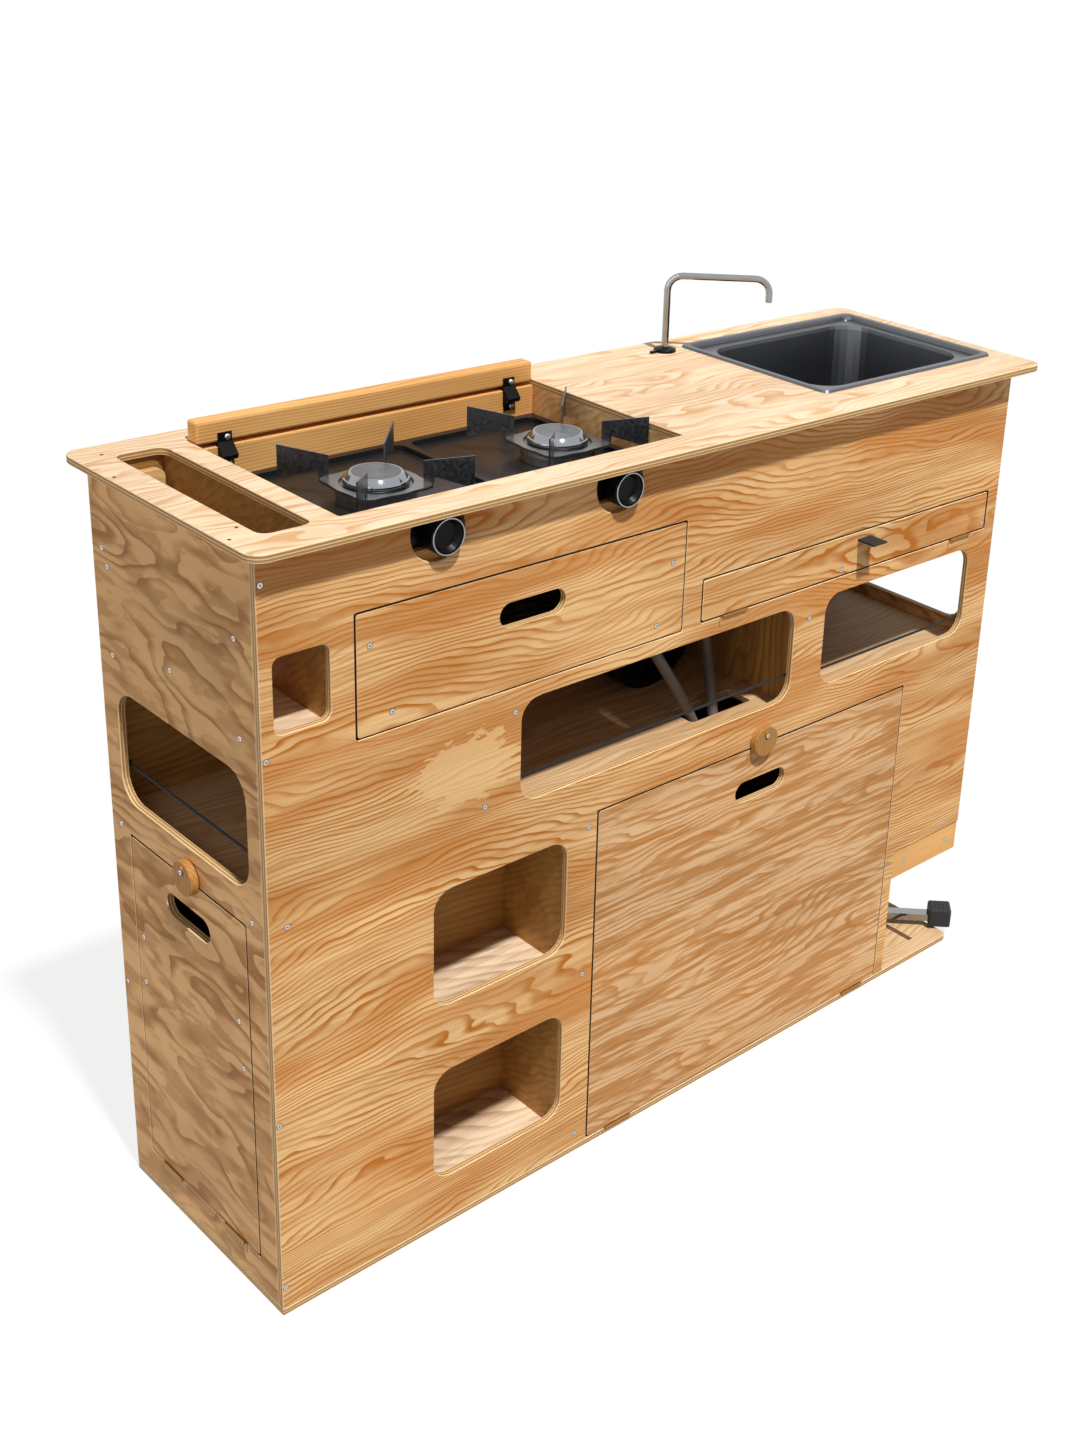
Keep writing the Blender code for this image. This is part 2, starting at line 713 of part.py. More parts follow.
def front_panel():
    gap = RIM_GAP
    outline = [(0, PANEL_FOOT), (DOOR_LEFT - gap, PANEL_FOOT)]
    outline += [(DOOR_LEFT - gap, DOOR_TOP + gap), (DOOR_RIGHT + gap, DOOR_TOP + gap)]
    outline += [(DOOR_RIGHT + gap, PANEL_FOOT), (FOOT_LEFT, PANEL_FOOT)]
    rail_top = FOOT_RAIL_BOTTOM + FOOT_RAIL_HEIGHT + FIT
    outline += [(FOOT_LEFT, rail_top), (BODY_LENGTH, rail_top), (BODY_LENGTH, PANEL_TOP)]
    for _, knob_x in reversed(KNOBS):
        outline += notch_points(knob_x)
    outline += [(0, PANEL_TOP)]
    window = (WINDOW_BOTTOM, WINDOW_TOP)
    small_top = TOP_HEIGHT - SMALL_WINDOW_DROP
    holes = [
        rounded(DRAWER_LEFT - gap, DRAWER_BOTTOM - gap, DRAWER_RIGHT + gap, DRAWER_TOP + gap, PANEL_CORNER),
        rounded(FLAP_LEFT - gap, FLAP_BOTTOM - gap, FLAP_RIGHT + gap, FLAP_TOP + gap, PANEL_CORNER),
        rounded(LONG_WINDOW_LEFT, window[0], PARTITION_X - WINDOW_POST_LEFT, window[1], WINDOW_CORNER, CORNER_STEPS),
        rounded(PARTITION_X + WINDOW_POST_RIGHT, window[0], BODY_LENGTH - RIGHT_WINDOW_MARGIN, window[1],
                WINDOW_CORNER, CORNER_STEPS),
        rounded(SMALL_WINDOW_LEFT, small_top - SMALL_WINDOW_HEIGHT, SMALL_WINDOW_LEFT + SMALL_WINDOW_WIDTH,
                small_top, SMALL_WINDOW_CORNER),
    ]
    for level in range(2):
        foot = CUBBY_BOTTOM + level * CUBBY_RISE
        right = CUBBY_LEFT + CUBBY_WIDTH
        holes.append(rounded(CUBBY_LEFT, foot, right, foot + CUBBY_HEIGHT, CUBBY_CORNER, CORNER_STEPS))
    board("front_panel", "xz", outline, holes, 0, PLY, front_ply())


def end_panels():
    window = rounded(END_WINDOW_FRONT, END_WINDOW_BOTTOM, END_WINDOW_REAR, WINDOW_TOP, END_WINDOW_CORNER,
                     CORNER_STEPS)
    gap = RIM_GAP
    door = rounded(END_DOOR_FRONT - gap, END_DOOR_BOTTOM - gap, END_DOOR_REAR + gap, END_DOOR_TOP + gap,
                   PANEL_CORNER)
    outline = rectangle(BEHIND_FRONT, PANEL_FOOT, BODY_DEPTH, PANEL_TOP)
    board("left_end_panel", "yz", outline, [window, door], 0, PLY, front_ply())
    leg = BODY_DEPTH - RIGHT_LEG
    outline = [(leg, PANEL_FOOT), (BODY_DEPTH, PANEL_FOOT), (BODY_DEPTH, PANEL_TOP), (BEHIND_FRONT, PANEL_TOP)]
    front_foot = FOOT_RAIL_BOTTOM + FOOT_RAIL_HEIGHT + FIT
    behind_rail = FOOT_RAIL_SET_BACK + FOOT_RAIL_THICK + FIT
    outline += [(BEHIND_FRONT, front_foot), (behind_rail, front_foot), (behind_rail, FOOT_RAIL_BOTTOM)]
    outline += [(leg, FOOT_RAIL_BOTTOM)]
    board("right_end_panel", "yz", outline, [window], BODY_LENGTH - PLY, BODY_LENGTH, front_ply())


def back_panel():
    outline = rectangle(INNER_LEFT, PANEL_FOOT, INNER_RIGHT, PANEL_TOP)
    board("back_panel", "xz", outline, [], BACK_FACE, BODY_DEPTH, inner_ply())


def foot_space():
    low = (FOOT_LEFT + FIT, FOOT_RAIL_SET_BACK, FOOT_RAIL_BOTTOM)
    high = (BODY_LENGTH, FOOT_RAIL_SET_BACK + FOOT_RAIL_THICK, FOOT_RAIL_BOTTOM + FOOT_RAIL_HEIGHT)
    block("foot_rail", low, high, top_ply())
    top = FOOT_RAIL_BOTTOM + FOOT_RAIL_HEIGHT
    side = FOOT_LEFT - PLY
    front = high[1] + FIT
    outline = [(side, PANEL_FOOT), (FOOT_LEFT, PANEL_FOOT), (FOOT_LEFT, top - PLY), (INNER_RIGHT, top - PLY)]
    outline += [(INNER_RIGHT, top), (side, top)]
    box = board("foot_box", "xz", outline, [], front, INNER_BACK, inner_ply())
    hole = circle(*WATER_HOSE_START[:2], WATER_HOSE_RADIUS + RIM_GAP)
    cut(box, "foot_box_hose_hole", "xy", hole, top - PLY - CUT_OVERRUN, top + CUT_OVERRUN)


def partitions():
    left = CUBBY_LEFT + CUBBY_WIDTH + PLY + PARTITION_LEFT_GAP
    block("partition_left", (left, BEHIND_FRONT, PANEL_FOOT), (left + PLY, INNER_BACK, SHELF_FOOT - FIT),
          inner_ply())
    half = PLY / 2
    top = FLAP_BOTTOM - RIM_GAP - PLY
    block("partition_right", (PARTITION_X - half, BEHIND_FRONT, SHELF_TOP + FIT),
          (PARTITION_X + half, INNER_BACK, top - FIT), inner_ply())


def mid_shelf():
    outline = rectangle(INNER_LEFT, BEHIND_FRONT, INNER_RIGHT, INNER_BACK)
    hole = rounded(HOSE_HOLE_LEFT, HOSE_HOLE_FRONT, HOSE_HOLE_LEFT + HOSE_HOLE_WIDTH,
                   HOSE_HOLE_FRONT + HOSE_HOLE_DEPTH, HOSE_HOLE_CORNER)
    water = circle(*WATER_HOSE_SHELF, WATER_HOSE_RADIUS + RIM_GAP)
    board("mid_shelf", "xy", outline, [hole, water], SHELF_FOOT, SHELF_TOP, inner_ply())


def cubby_block():
    """Two open boxes behind the cubby openings, joined by a middle board."""
    left = CUBBY_LEFT - PLY
    right = CUBBY_LEFT + CUBBY_WIDTH + PLY
    foot = CUBBY_BOTTOM - CUBBY_LIP - PLY
    top = CUBBY_BOTTOM + CUBBY_RISE + CUBBY_HEIGHT + PLY
    item = block("cubby_block", (left, BEHIND_FRONT, foot), (right, CUBBY_DEPTH + PLY, top), inner_ply(), edge=0)
    for level in range(2):
        low = CUBBY_BOTTOM + level * CUBBY_RISE - CUBBY_LIP
        high = CUBBY_BOTTOM + level * CUBBY_RISE + CUBBY_HEIGHT
        outline = rectangle(CUBBY_LEFT, low, CUBBY_LEFT + CUBBY_WIDTH, high)
        cut(item, "cubby_cavity_%d" % level, "xz", outline, 0, CUBBY_DEPTH)


def worktop():
    outline = rounded(-TOP_LEFT_LIP, -TOP_FRONT_LIP, BODY_LENGTH + TOP_RIGHT_LIP, BODY_DEPTH + TOP_REAR_LIP,
                      TOP_CORNER)
    inset = SINK_RIM_WIDTH - SHEET / 2
    holes = [
        rounded(POCKET_LEFT, POCKET_FRONT, POCKET_LEFT + POCKET_WIDTH, BODY_DEPTH - POCKET_REAR_MARGIN,
                POCKET_CORNER),
        rounded(RECESS_LEFT, RECESS_FRONT, RECESS_RIGHT, RECESS_REAR, RECESS_CORNER, 2),
        rounded(SINK_LEFT + inset, SINK_FRONT + inset, SINK_RIGHT - inset, SINK_REAR - inset, SINK_CORNER),
        circle(TAP_X, TAP_Y, TAP_STEM_RADIUS + FIT, ROUND_STEPS // 2),
    ]
    board("worktop", "xy", outline, holes, UNDER_TOP, TOP_HEIGHT, top_ply())


def pocket():
    floor = TOP_HEIGHT - POCKET_FLOOR_DROP
    wall = POCKET_LEFT + POCKET_WIDTH + ARRIS
    outline = [(INNER_LEFT, floor - PLY), (wall + PLY, floor - PLY), (wall + PLY, PANEL_TOP), (wall, PANEL_TOP)]
    outline += [(wall, floor), (INNER_LEFT, floor)]
    board("pocket_lining", "xz", outline, [], BEHIND_FRONT, INNER_BACK, inner_ply())
    right = INNER_LEFT + POCKET_TAB_WIDTH
    top = TOP_HEIGHT - POCKET_TAB_DROP
    centre = (right - POCKET_TAB_CORNER, top - POCKET_TAB_CORNER)
    outline = [(INNER_LEFT, floor + FIT), (right, floor + FIT)]
    outline += arc(*centre, POCKET_TAB_CORNER, 0, math.pi / 2, QUARTER_STEPS) + [(INNER_LEFT, top)]
    rear = INNER_BACK - POCKET_TAB_SET + PLY
    board("pocket_tab", "xz", outline, [], rear - PLY, rear, top_ply())


def hob_recess():
    """Side boards with ledges, a rear wall and a front rail round the hob."""
    for side, edge, step in (("left", RECESS_LEFT, 1), ("right", RECESS_RIGHT, -1)):
        outer = edge - step * PLY
        inner = edge + step * LEDGE_WIDTH
        ledge = HOB_FOOT - FIT
        outline = [(outer, ledge - PLY), (inner, ledge - PLY), (inner, ledge), (edge, ledge), (edge, PANEL_TOP)]
        outline += [(outer, PANEL_TOP)]
        if step < 0:
            outline.reverse()
        item = board("recess_side_" + side, "xz", outline, [], 2 * BEHIND_FRONT + FIT, INNER_BACK, inner_ply())
        if side == "right":
            hole = circle(*GAS_HOSE_START[:2], HOSE_RADIUS + FIT)
            cut(item, "ledge_hose_hole", "xy", hole, ledge - PLY - CUT_OVERRUN, ledge + CUT_OVERRUN)
    wall_top = TOP_HEIGHT - RAIL_DROP - REAR_WALL_GAP
    low = (RECESS_LEFT + FIT, REAR_WALL_FRONT, HOB_TRAY_FOOT)
    high = (RECESS_RIGHT - FIT, INNER_BACK, wall_top)
    wall = block("recess_rear_wall", low, high, pine(), edge=ARRIS)
    for x in BRACKETS:
        half = BRACKET_WIDTH / 2 + FIT
        outline = rectangle(x - half, HOB_TOP + WALL_NOTCH_FOOT, x + half, wall_top + CUT_OVERRUN)
        cut(wall, "wall_notch_%d" % BRACKETS.index(x), "xz", outline, REAR_WALL_FRONT - CUT_OVERRUN,
            REAR_WALL_FRONT + WALL_NOTCH_DEPTH)
    low = (RECESS_LEFT - PLY, BEHIND_FRONT, HOB_FOOT)
    high = (RECESS_RIGHT + PLY, BEHIND_FRONT + PLY, HOB_FOOT + FRONT_RAIL_HEIGHT)
    block("recess_front_rail", low, high, inner_ply())


def hinged_rail():
    """Solid rail behind the hob, on two straps that turn on round knuckles."""
    foot = TOP_HEIGHT - RAIL_DROP
    axis = (0, RAIL_AXIS[0], RAIL_AXIS[1])
    low = (RECESS_LEFT + HOB_PLAY, RAIL_FRONT, foot)
    high = (RECESS_RIGHT - HOB_PLAY, RAIL_REAR, foot + RAIL_HEIGHT)
    rail = block("hinged_rail", low, high, pine(), axis, edge=0)
    arris(rail, RAIL_EDGE, 2)
    for side, x in zip(("left", "right"), BRACKETS):
        half = BRACKET_WIDTH / 2
        y, z = RAIL_AXIS
        top = foot - FIT
        plate = REAR_WALL_FRONT + BRACKET_THICK
        leaf = RAIL_FRONT + BRACKET_WIDTH / 2
        outline = arc(y, z, KNUCKLE_RADIUS, -math.pi, math.pi / 3, 2 * QUARTER_STEPS)
        outline += [(plate, z + KNUCKLE_RADIUS), (plate, top - BRACKET_THICK), (leaf, top - BRACKET_THICK)]
        outline += [(leaf, top), (REAR_WALL_FRONT, top), (REAR_WALL_FRONT, z + 2 * KNUCKLE_RADIUS)]
        board("rail_strap_" + side, "yz", outline, [], x - half, x + half, black_steel(), (x, y, z), 0)


def hob():
    """Enamelled tray with two wells on a shallow box, with a front sheet."""
    left = RECESS_LEFT + HOB_PLAY
    right = RECESS_RIGHT - HOB_PLAY
    front = RECESS_FRONT + HOB_PLAY
    rear = REAR_WALL_FRONT - FIT
    sheet = 2 * BEHIND_FRONT + FIT
    outline = [(sheet, HOB_FOOT), (rear, HOB_FOOT), (rear, HOB_TOP), (front, HOB_TOP)]
    outline += [(front, UNDER_TOP - HOB_FRONT_TOP_GAP), (sheet, UNDER_TOP - HOB_FRONT_TOP_GAP)]
    item = board("hob_body", "yz", outline, [], left, right, black_enamel(), edge=0)
    rim = HOB_RIM_WIDTH
    middle = (BURNERS[0][1] + BURNERS[1][1]) / 2 - rim / 2
    outline = rounded(left + rim, front + rim, middle, rear - rim, HOB_CORNER)
    cut(item, "hob_well_left", "xy", outline, HOB_FLOOR, HOB_TOP + CUT_OVERRUN)
    outline = rounded(middle + rim, front + rim, right - rim, rear - rim, HOB_CORNER)
    cut(item, "hob_well_right", "xy", outline, HOB_FLOOR, HOB_TOP + CUT_OVERRUN)


def burner(side, x):
    centre = (x, BURNER_Y, HOB_FLOOR + FIT)
    profile = [(0, 0), (RING_RADIUS, 0), (RING_RADIUS, RING_HEIGHT * 0.6), (RING_RADIUS - SHEET, RING_HEIGHT)]
    profile += [(RING_INNER + SHEET, RING_HEIGHT), (RING_INNER, RING_HEIGHT - SHEET), (0, RING_HEIGHT - SHEET)]
    turned("burner_ring_" + side, profile, black_steel(), centre)
    foot = RING_HEIGHT - SHEET + FIT
    brim = foot + CAP_LIFT
    profile = [(0, foot), (CAP_STEM_RADIUS, foot), (CAP_STEM_RADIUS, brim), (CAP_RADIUS - CAP_LIFT, brim)]
    profile += [(CAP_RADIUS, brim + CAP_LIFT), (CAP_RADIUS - SHEET, brim + CAP_HEIGHT / 2)]
    profile += [(CAP_TOP_RADIUS + SHEET, brim + CAP_HEIGHT - SHEET), (CAP_TOP_RADIUS, brim + CAP_HEIGHT)]
    profile += [(0, brim + CAP_HEIGHT)]
    turned("burner_cap_" + side, profile, chrome(), centre)


def pan_support(side, x):
    """Pointed ring with four upright blades on the diagonals."""
    z = HOB_FLOOR + RING_HEIGHT + 2 * FIT
    steps = ROUND_STEPS + 2 * BLADE_COUNT
    outer = []
    for i in range(steps):
        angle = 2 * math.pi * i / steps
        point = abs(math.sin(BLADE_COUNT * angle / 2)) ** 6
        radius = SUPPORT_PLATE_OUTER + (SUPPORT_POINT - SUPPORT_PLATE_OUTER) * point
        outer.append((x + radius * math.cos(angle), BURNER_Y + radius * math.sin(angle)))
    item = board("pan_support_" + side, "xy", outer, [circle(x, BURNER_Y, SUPPORT_PLATE_INNER, steps)], z,
                 z + SUPPORT_PLATE_THICK, cast_grey(), edge=0, smooth=math.radians(40))
    for i in range(BLADE_COUNT):
        angle = math.pi / BLADE_COUNT + 2 * math.pi * i / BLADE_COUNT
        half = BLADE_THICK / 2
        outline = [(BLADE_INNER, z), (SUPPORT_POINT, z - SHEET), (BLADE_NECK, z + BLADE_NECK_FOOT)]
        outline += [(BLADE_OUTER, z + BLADE_OUTER_FOOT)]
        outline += [(BLADE_OUTER, z + BLADE_OUTER_TOP), (BLADE_INNER, z + BLADE_INNER_TOP)]
        bm = board_mesh("xz", outline, [], -half, half)
        turn = Matrix.Translation((x, BURNER_Y, 0)) @ Matrix.Rotation(angle, 4, "Z")
        bmesh.ops.transform(bm, matrix=turn, verts=bm.verts[:])
        union_piece(item, "support_blade_%s_%d" % (side, i), bm)


def knob(side, x):
    """Round knob with a bright ring and a dished face, on its valve axis."""
    length = KNOB_FACE + KNOB_BACK
    ring = KNOB_RING
    stem = 2 * BEHIND_FRONT - KNOB_BACK
    profile = [(0, -stem), (STEM_RADIUS, -stem), (STEM_RADIUS, 0)]
    profile += [(KNOB_RADIUS, 0), (KNOB_RADIUS, length - ring), (KNOB_RADIUS - ring / 2, length)]
    profile += [(KNOB_RADIUS - ring, length), (KNOB_RADIUS - ring - SHEET, length - ring)]
    profile += [(KNOB_DISH_RADIUS, length - KNOB_DISH), (0, length - KNOB_DISH)]
    turned("knob_" + side, profile, black_plastic(), (x, KNOB_BACK, KNOB_Z), (0, -1, 0))


def rim_loop(inset, corner, z, per_corner):
    points = rounded(SINK_LEFT + inset, SINK_FRONT + inset, SINK_RIGHT - inset, SINK_REAR - inset, corner,
                     per_corner - 1)
    return [(u, v, z) for u, v in points]


def round_loop(radius, z, per_corner):
    """Circle with as many points as a rim loop, starting at the same corner."""
    points = []
    for turn in range(-1, 3):
        start = turn * math.pi / 2
        step = math.pi / 2 / per_corner
        points += [(SINK_X + radius * math.cos(start + step * (i + 0.5)),
                    SINK_Y + radius * math.sin(start + step * (i + 0.5)), z) for i in range(per_corner)]
    return points


def sink():
    """Pressed bowl with a raised rim, a ledge and a waste hole, one sheet thick."""
    per_corner = 7
    top = TOP_HEIGHT + FIT
    rim = SINK_RIM_WIDTH
    lift = SINK_RIM_RISE
    ledge = top + SHEET - SINK_LEDGE_DROP
    floor = BOWL_FLOOR
    taper = BOWL_INSET + BOWL_TAPER
    flat = taper + BOWL_FILLET
    small = BOWL_CORNER - BOWL_FILLET
    loops = [
        rim_loop(0, SINK_CORNER, top, per_corner),
        rim_loop(lift / 2, SINK_CORNER, top + lift, per_corner),
        rim_loop(rim - lift / 2, SINK_CORNER, top + lift, per_corner),
        rim_loop(rim + SHEET, SINK_CORNER, top + SHEET, per_corner),
        rim_loop(rim + 2 * SHEET, SINK_CORNER, ledge, per_corner),
        rim_loop(BOWL_INSET, BOWL_CORNER, ledge - SHEET, per_corner),
        rim_loop(BOWL_INSET + SHEET, BOWL_CORNER, ledge - 2 * lift, per_corner),
        rim_loop(taper, BOWL_CORNER, floor + BOWL_FILLET, per_corner),
        rim_loop(taper + BOWL_FILLET / 3, BOWL_CORNER, floor + BOWL_FILLET / 3, per_corner),
        rim_loop(flat, small, floor, per_corner),
        round_loop(WASTE_HOLE, floor - SHEET, per_corner),
        round_loop(WASTE_HOLE, floor - 2 * SHEET, per_corner),
        rim_loop(flat, small, floor - SHEET, per_corner),
        rim_loop(taper + BOWL_FILLET / 3 - SHEET, BOWL_CORNER, floor + BOWL_FILLET / 3 - SHEET, per_corner),
        rim_loop(taper - SHEET, BOWL_CORNER, floor + BOWL_FILLET, per_corner),
        rim_loop(BOWL_INSET, BOWL_CORNER, ledge - 2 * lift - SHEET, per_corner),
        rim_loop(BOWL_INSET - SHEET, BOWL_CORNER, ledge - 2 * SHEET, per_corner),
        rim_loop(rim + SHEET, SINK_CORNER, ledge - SHEET, per_corner),
        rim_loop(rim, SINK_CORNER, top, per_corner),
    ]
    finish("sink_bowl", loft_ring(loops), stainless(), (SINK_X, SINK_Y, TOP_HEIGHT), math.radians(35))
    seat = BOWL_FLOOR - SHEET
    foot = seat - WASTE_TAIL
    neck = WASTE_HOLE - FIT
    profile = [(0, foot), (WASTE_TAIL_RADIUS, foot), (WASTE_TAIL_RADIUS, seat - WASTE_TAIL / 2)]
    profile += [(neck + 2 * SHEET, seat - WASTE_TAIL / 3), (neck + 2 * SHEET, seat - SHEET - FIT)]
    profile += [(neck, seat - SHEET - FIT), (neck, seat + SHEET + FIT), (WASTE_FLANGE, seat + SHEET + FIT)]
    profile += [(WASTE_FLANGE, seat + 2 * SHEET), (neck, seat + 2 * SHEET), (neck - 2 * SHEET, seat)]
    profile += [(0, seat)]
    profile = [(radius, height - seat) for radius, height in profile]
    turned("sink_waste", profile, stainless(), (SINK_X, SINK_Y, seat))


def tap():
    foot = TOP_HEIGHT + FIT
    profile = [(0, -TAP_STEM_LENGTH), (TAP_STEM_RADIUS, -TAP_STEM_LENGTH), (TAP_STEM_RADIUS, 0)]
    profile += [(TAP_BASE_RADIUS, 0), (TAP_BASE_RADIUS, TAP_BASE_HEIGHT / 2)]
    profile += [(TAP_BASE_RADIUS - SHEET, TAP_BASE_HEIGHT * 2 / 3), (TAP_TUBE + 2 * SHEET, TAP_BASE_HEIGHT)]
    profile += [(0, TAP_BASE_HEIGHT)]
    base = turned("tap_base", profile, black_plastic(), (TAP_X, TAP_Y, foot))
    half = TAP_LUG_WIDTH / 2
    outline = rounded(TAP_X - TAP_LUG_REACH, TAP_Y - half, TAP_X - TAP_BASE_RADIUS + SHEET, TAP_Y + half, half, 2)
    bm = board_mesh("xy", outline, [], foot, foot + TAP_BASE_HEIGHT / 2)
    union_piece(base, "tap_lug", bm)
    start = foot + TAP_BASE_HEIGHT + FIT
    top = TOP_HEIGHT + TAP_RISE
    bend = TAP_BEND
    quarter = math.pi / 2
    profile = [(0, start)]
    profile += [(bend - bend * math.cos(quarter * i / 6), top - bend + bend * math.sin(quarter * i / 6))
                for i in range(7)]
    profile += [(TAP_REACH - bend + bend * math.sin(quarter * i / 6), top - bend + bend * math.cos(quarter * i / 6))
                for i in range(7)]
    profile += [(TAP_REACH, top - TAP_DIP)]
    points = [(TAP_X + r * math.cos(TAP_ANGLE), TAP_Y + r * math.sin(TAP_ANGLE), z) for r, z in profile]
    tube("tap_spout", points, TAP_TUBE, chrome(), (TAP_X, TAP_Y, start), 3)


def drawer():
    slot_x = DRAWER_LEFT + DRAWER_SLOT_LEFT + SLOT_LENGTH / 2
    slot = finger_slot(slot_x, DRAWER_TOP - DRAWER_SLOT_DROP)
    outline = rounded(DRAWER_LEFT, DRAWER_BOTTOM, DRAWER_RIGHT, DRAWER_TOP, PANEL_CORNER)
    origin = (DRAWER_LEFT, 0, DRAWER_BOTTOM)
    board("drawer_front", "xz", outline, [slot], 0, PLY, front_ply(), origin)
    left = DRAWER_LEFT + DRAWER_SIDE_PLAY
    right = DRAWER_RIGHT - DRAWER_SIDE_PLAY
    foot = DRAWER_BOTTOM - RIM_GAP + FIT
    top = DRAWER_TOP - DRAWER_BOX_DROP
    item = block("drawer_box", (left, BEHIND_FRONT, foot), (right, DRAWER_DEPTH, top), inner_ply(), origin, 0)
    outline = rectangle(left + PLY, foot + PLY, right - PLY, top + CUT_OVERRUN)
    cut(item, "drawer_cavity", "xz", outline, 0, DRAWER_DEPTH - PLY)
    shelf_top = DRAWER_BOTTOM - RIM_GAP
    low = (DRAWER_LEFT - SHELF_SIDE, BEHIND_FRONT, shelf_top - PLY)
    block("drawer_shelf", low, (DRAWER_RIGHT + PANEL_CORNER, INNER_BACK, shelf_top), inner_ply())


def butt_hinge(name, axis, start, edge_z):
    """Steel hinge: a knuckle before the face and a leaf on the lower edge.

    axis "x" lies along the front, axis "y" along the left end.
    """
    out = -(HINGE_RADIUS + FIT)
    leaf = edge_z + FIT
    steps = 3 * QUARTER_STEPS
    centre = edge_z + RIM_GAP / 2
    lean = math.asin((leaf + HINGE_LEAF - centre) / HINGE_RADIUS)
    dip = math.asin((centre - leaf) / HINGE_RADIUS)
    outline = arc(out, centre, HINGE_RADIUS, lean, 2 * math.pi - dip, steps)
    outline += [(HINGE_LEAF_DEPTH, leaf), (HINGE_LEAF_DEPTH, leaf + HINGE_LEAF)]
    plane = "yz" if axis == "x" else "xz"
    origin = to_space(plane, out, centre, start)
    board(name, plane, outline, [], start, start + HINGE_LENGTH, stainless(), origin, 0)


def hinges():
    starts = (FLAP_LEFT + FLAP_HINGE_INSET, FLAP_RIGHT - FLAP_HINGE_INSET - HINGE_LENGTH)
    for side, start in zip(("left", "right"), starts):
        butt_hinge("flap_hinge_" + side, "x", start, FLAP_BOTTOM - RIM_GAP)
    starts = (DOOR_LEFT + DOOR_HINGE_INSET, DOOR_RIGHT - DOOR_HINGE_INSET - HINGE_LENGTH)
    for side, start in zip(("left", "right"), starts):
        butt_hinge("door_hinge_" + side, "x", start, BASE_TOP)
    starts = (END_DOOR_FRONT + END_HINGE_INSET, END_DOOR_REAR - END_HINGE_INSET - HINGE_LENGTH)
    for side, start in zip(("front", "rear"), starts):
        butt_hinge("end_door_hinge_" + side, "y", start, END_DOOR_BOTTOM - RIM_GAP)


def flap():
    out = -(HINGE_RADIUS + FIT)
    outline = rounded(FLAP_LEFT, FLAP_BOTTOM, FLAP_RIGHT, FLAP_TOP, PANEL_CORNER)
    origin = ((FLAP_LEFT + FLAP_RIGHT) / 2, out, FLAP_BOTTOM - RIM_GAP / 2)
    board("flap", "xz", outline, [], 0, PLY, front_ply(), origin)
    x = (FLAP_LEFT + FLAP_RIGHT) / 2 + STRAP_OFFSET
    half = STRAP_WIDTH / 2
    low = (x - half, -STRAP_REACH, FLAP_TOP - STRAP_THICK - PLY)
    high = (x + half, -FIT, FLAP_TOP - PLY)
    block("flap_strap", low, high, webbing(), origin, 0)
    left = FLAP_LEFT - FLAP_TRAY_SIDE
    right = FLAP_RIGHT + FLAP_TRAY_SIDE
    floor = FLAP_BOTTOM - RIM_GAP
    top = FLAP_TOP + RIM_GAP + PLY
    tray = block("flap_tray", (left, BEHIND_FRONT, floor - PLY), (right, FLAP_TRAY_DEPTH, top), inner_ply(), edge=0)
    outline = rectangle(left + PLY, floor, right - PLY, top + CUT_OVERRUN)
    cut(tray, "flap_tray_cavity", "xz", outline, 0, FLAP_TRAY_DEPTH - PLY)


def turn_button(name, plane, u, door_top):
    """Round wooden button on an eccentric screw above the door's top edge."""
    middle = door_top + BUTTON_RISE
    pivot = middle + BUTTON_PIVOT_RISE
    back = -BUTTON_GAP
    face = back - BUTTON_THICK
    item = board(name, plane, circle(u, middle, BUTTON_RADIUS), [], face, back, front_ply(),
                 to_space(plane, u, pivot, 0))
    bm = board_mesh(plane, circle(u, pivot, SCREW_HEAD_RADIUS, ROUND_STEPS // 2), [], face - SCREW_HEAD_HEIGHT,
                    -FIT)
    union_piece(item, name + "_screw", bm)


def doors():
    out = -(HINGE_RADIUS + FIT)
    slot = finger_slot(DOOR_MIDDLE, DOOR_TOP - DOOR_SLOT_DROP)
    outline = rounded(DOOR_LEFT, DOOR_BOTTOM, DOOR_RIGHT, DOOR_TOP, PANEL_CORNER)
    board("large_door", "xz", outline, [slot], 0, PLY, front_ply(), (DOOR_MIDDLE, out, DOOR_BOTTOM - RIM_GAP / 2))
    turn_button("door_button", "xz", DOOR_MIDDLE - BUTTON_OFFSET, DOOR_TOP)
    slot = finger_slot(END_DOOR_MIDDLE, END_DOOR_TOP - END_SLOT_DROP)
    outline = rounded(END_DOOR_FRONT, END_DOOR_BOTTOM, END_DOOR_REAR, END_DOOR_TOP, PANEL_CORNER)
    origin = (out, END_DOOR_MIDDLE, END_DOOR_BOTTOM - RIM_GAP / 2)
    board("end_door", "yz", outline, [slot], 0, PLY, front_ply(), origin)
    turn_button("end_button", "yz", END_DOOR_MIDDLE - 2 * BUTTON_OFFSET, END_DOOR_TOP)


def elastic_cord(name, start, end):
    """Taut elastic cord with a knot at each end."""
    length = math.dist(start, end)
    knot = KNOT_LENGTH
    radius = ELASTIC_RADIUS
    profile = [(0, 0), (KNOT_RADIUS / 2, 0), (KNOT_RADIUS, knot / 3), (KNOT_RADIUS, knot * 2 / 3), (radius, knot)]
    profile += [(radius, length - knot), (KNOT_RADIUS, length - knot * 2 / 3), (KNOT_RADIUS, length - knot / 3)]
    profile += [(KNOT_RADIUS / 2, length), (0, length)]
    aim = Vector(end) - Vector(start)
    turned(name, profile, webbing(), start, tuple(aim), 12, 40)


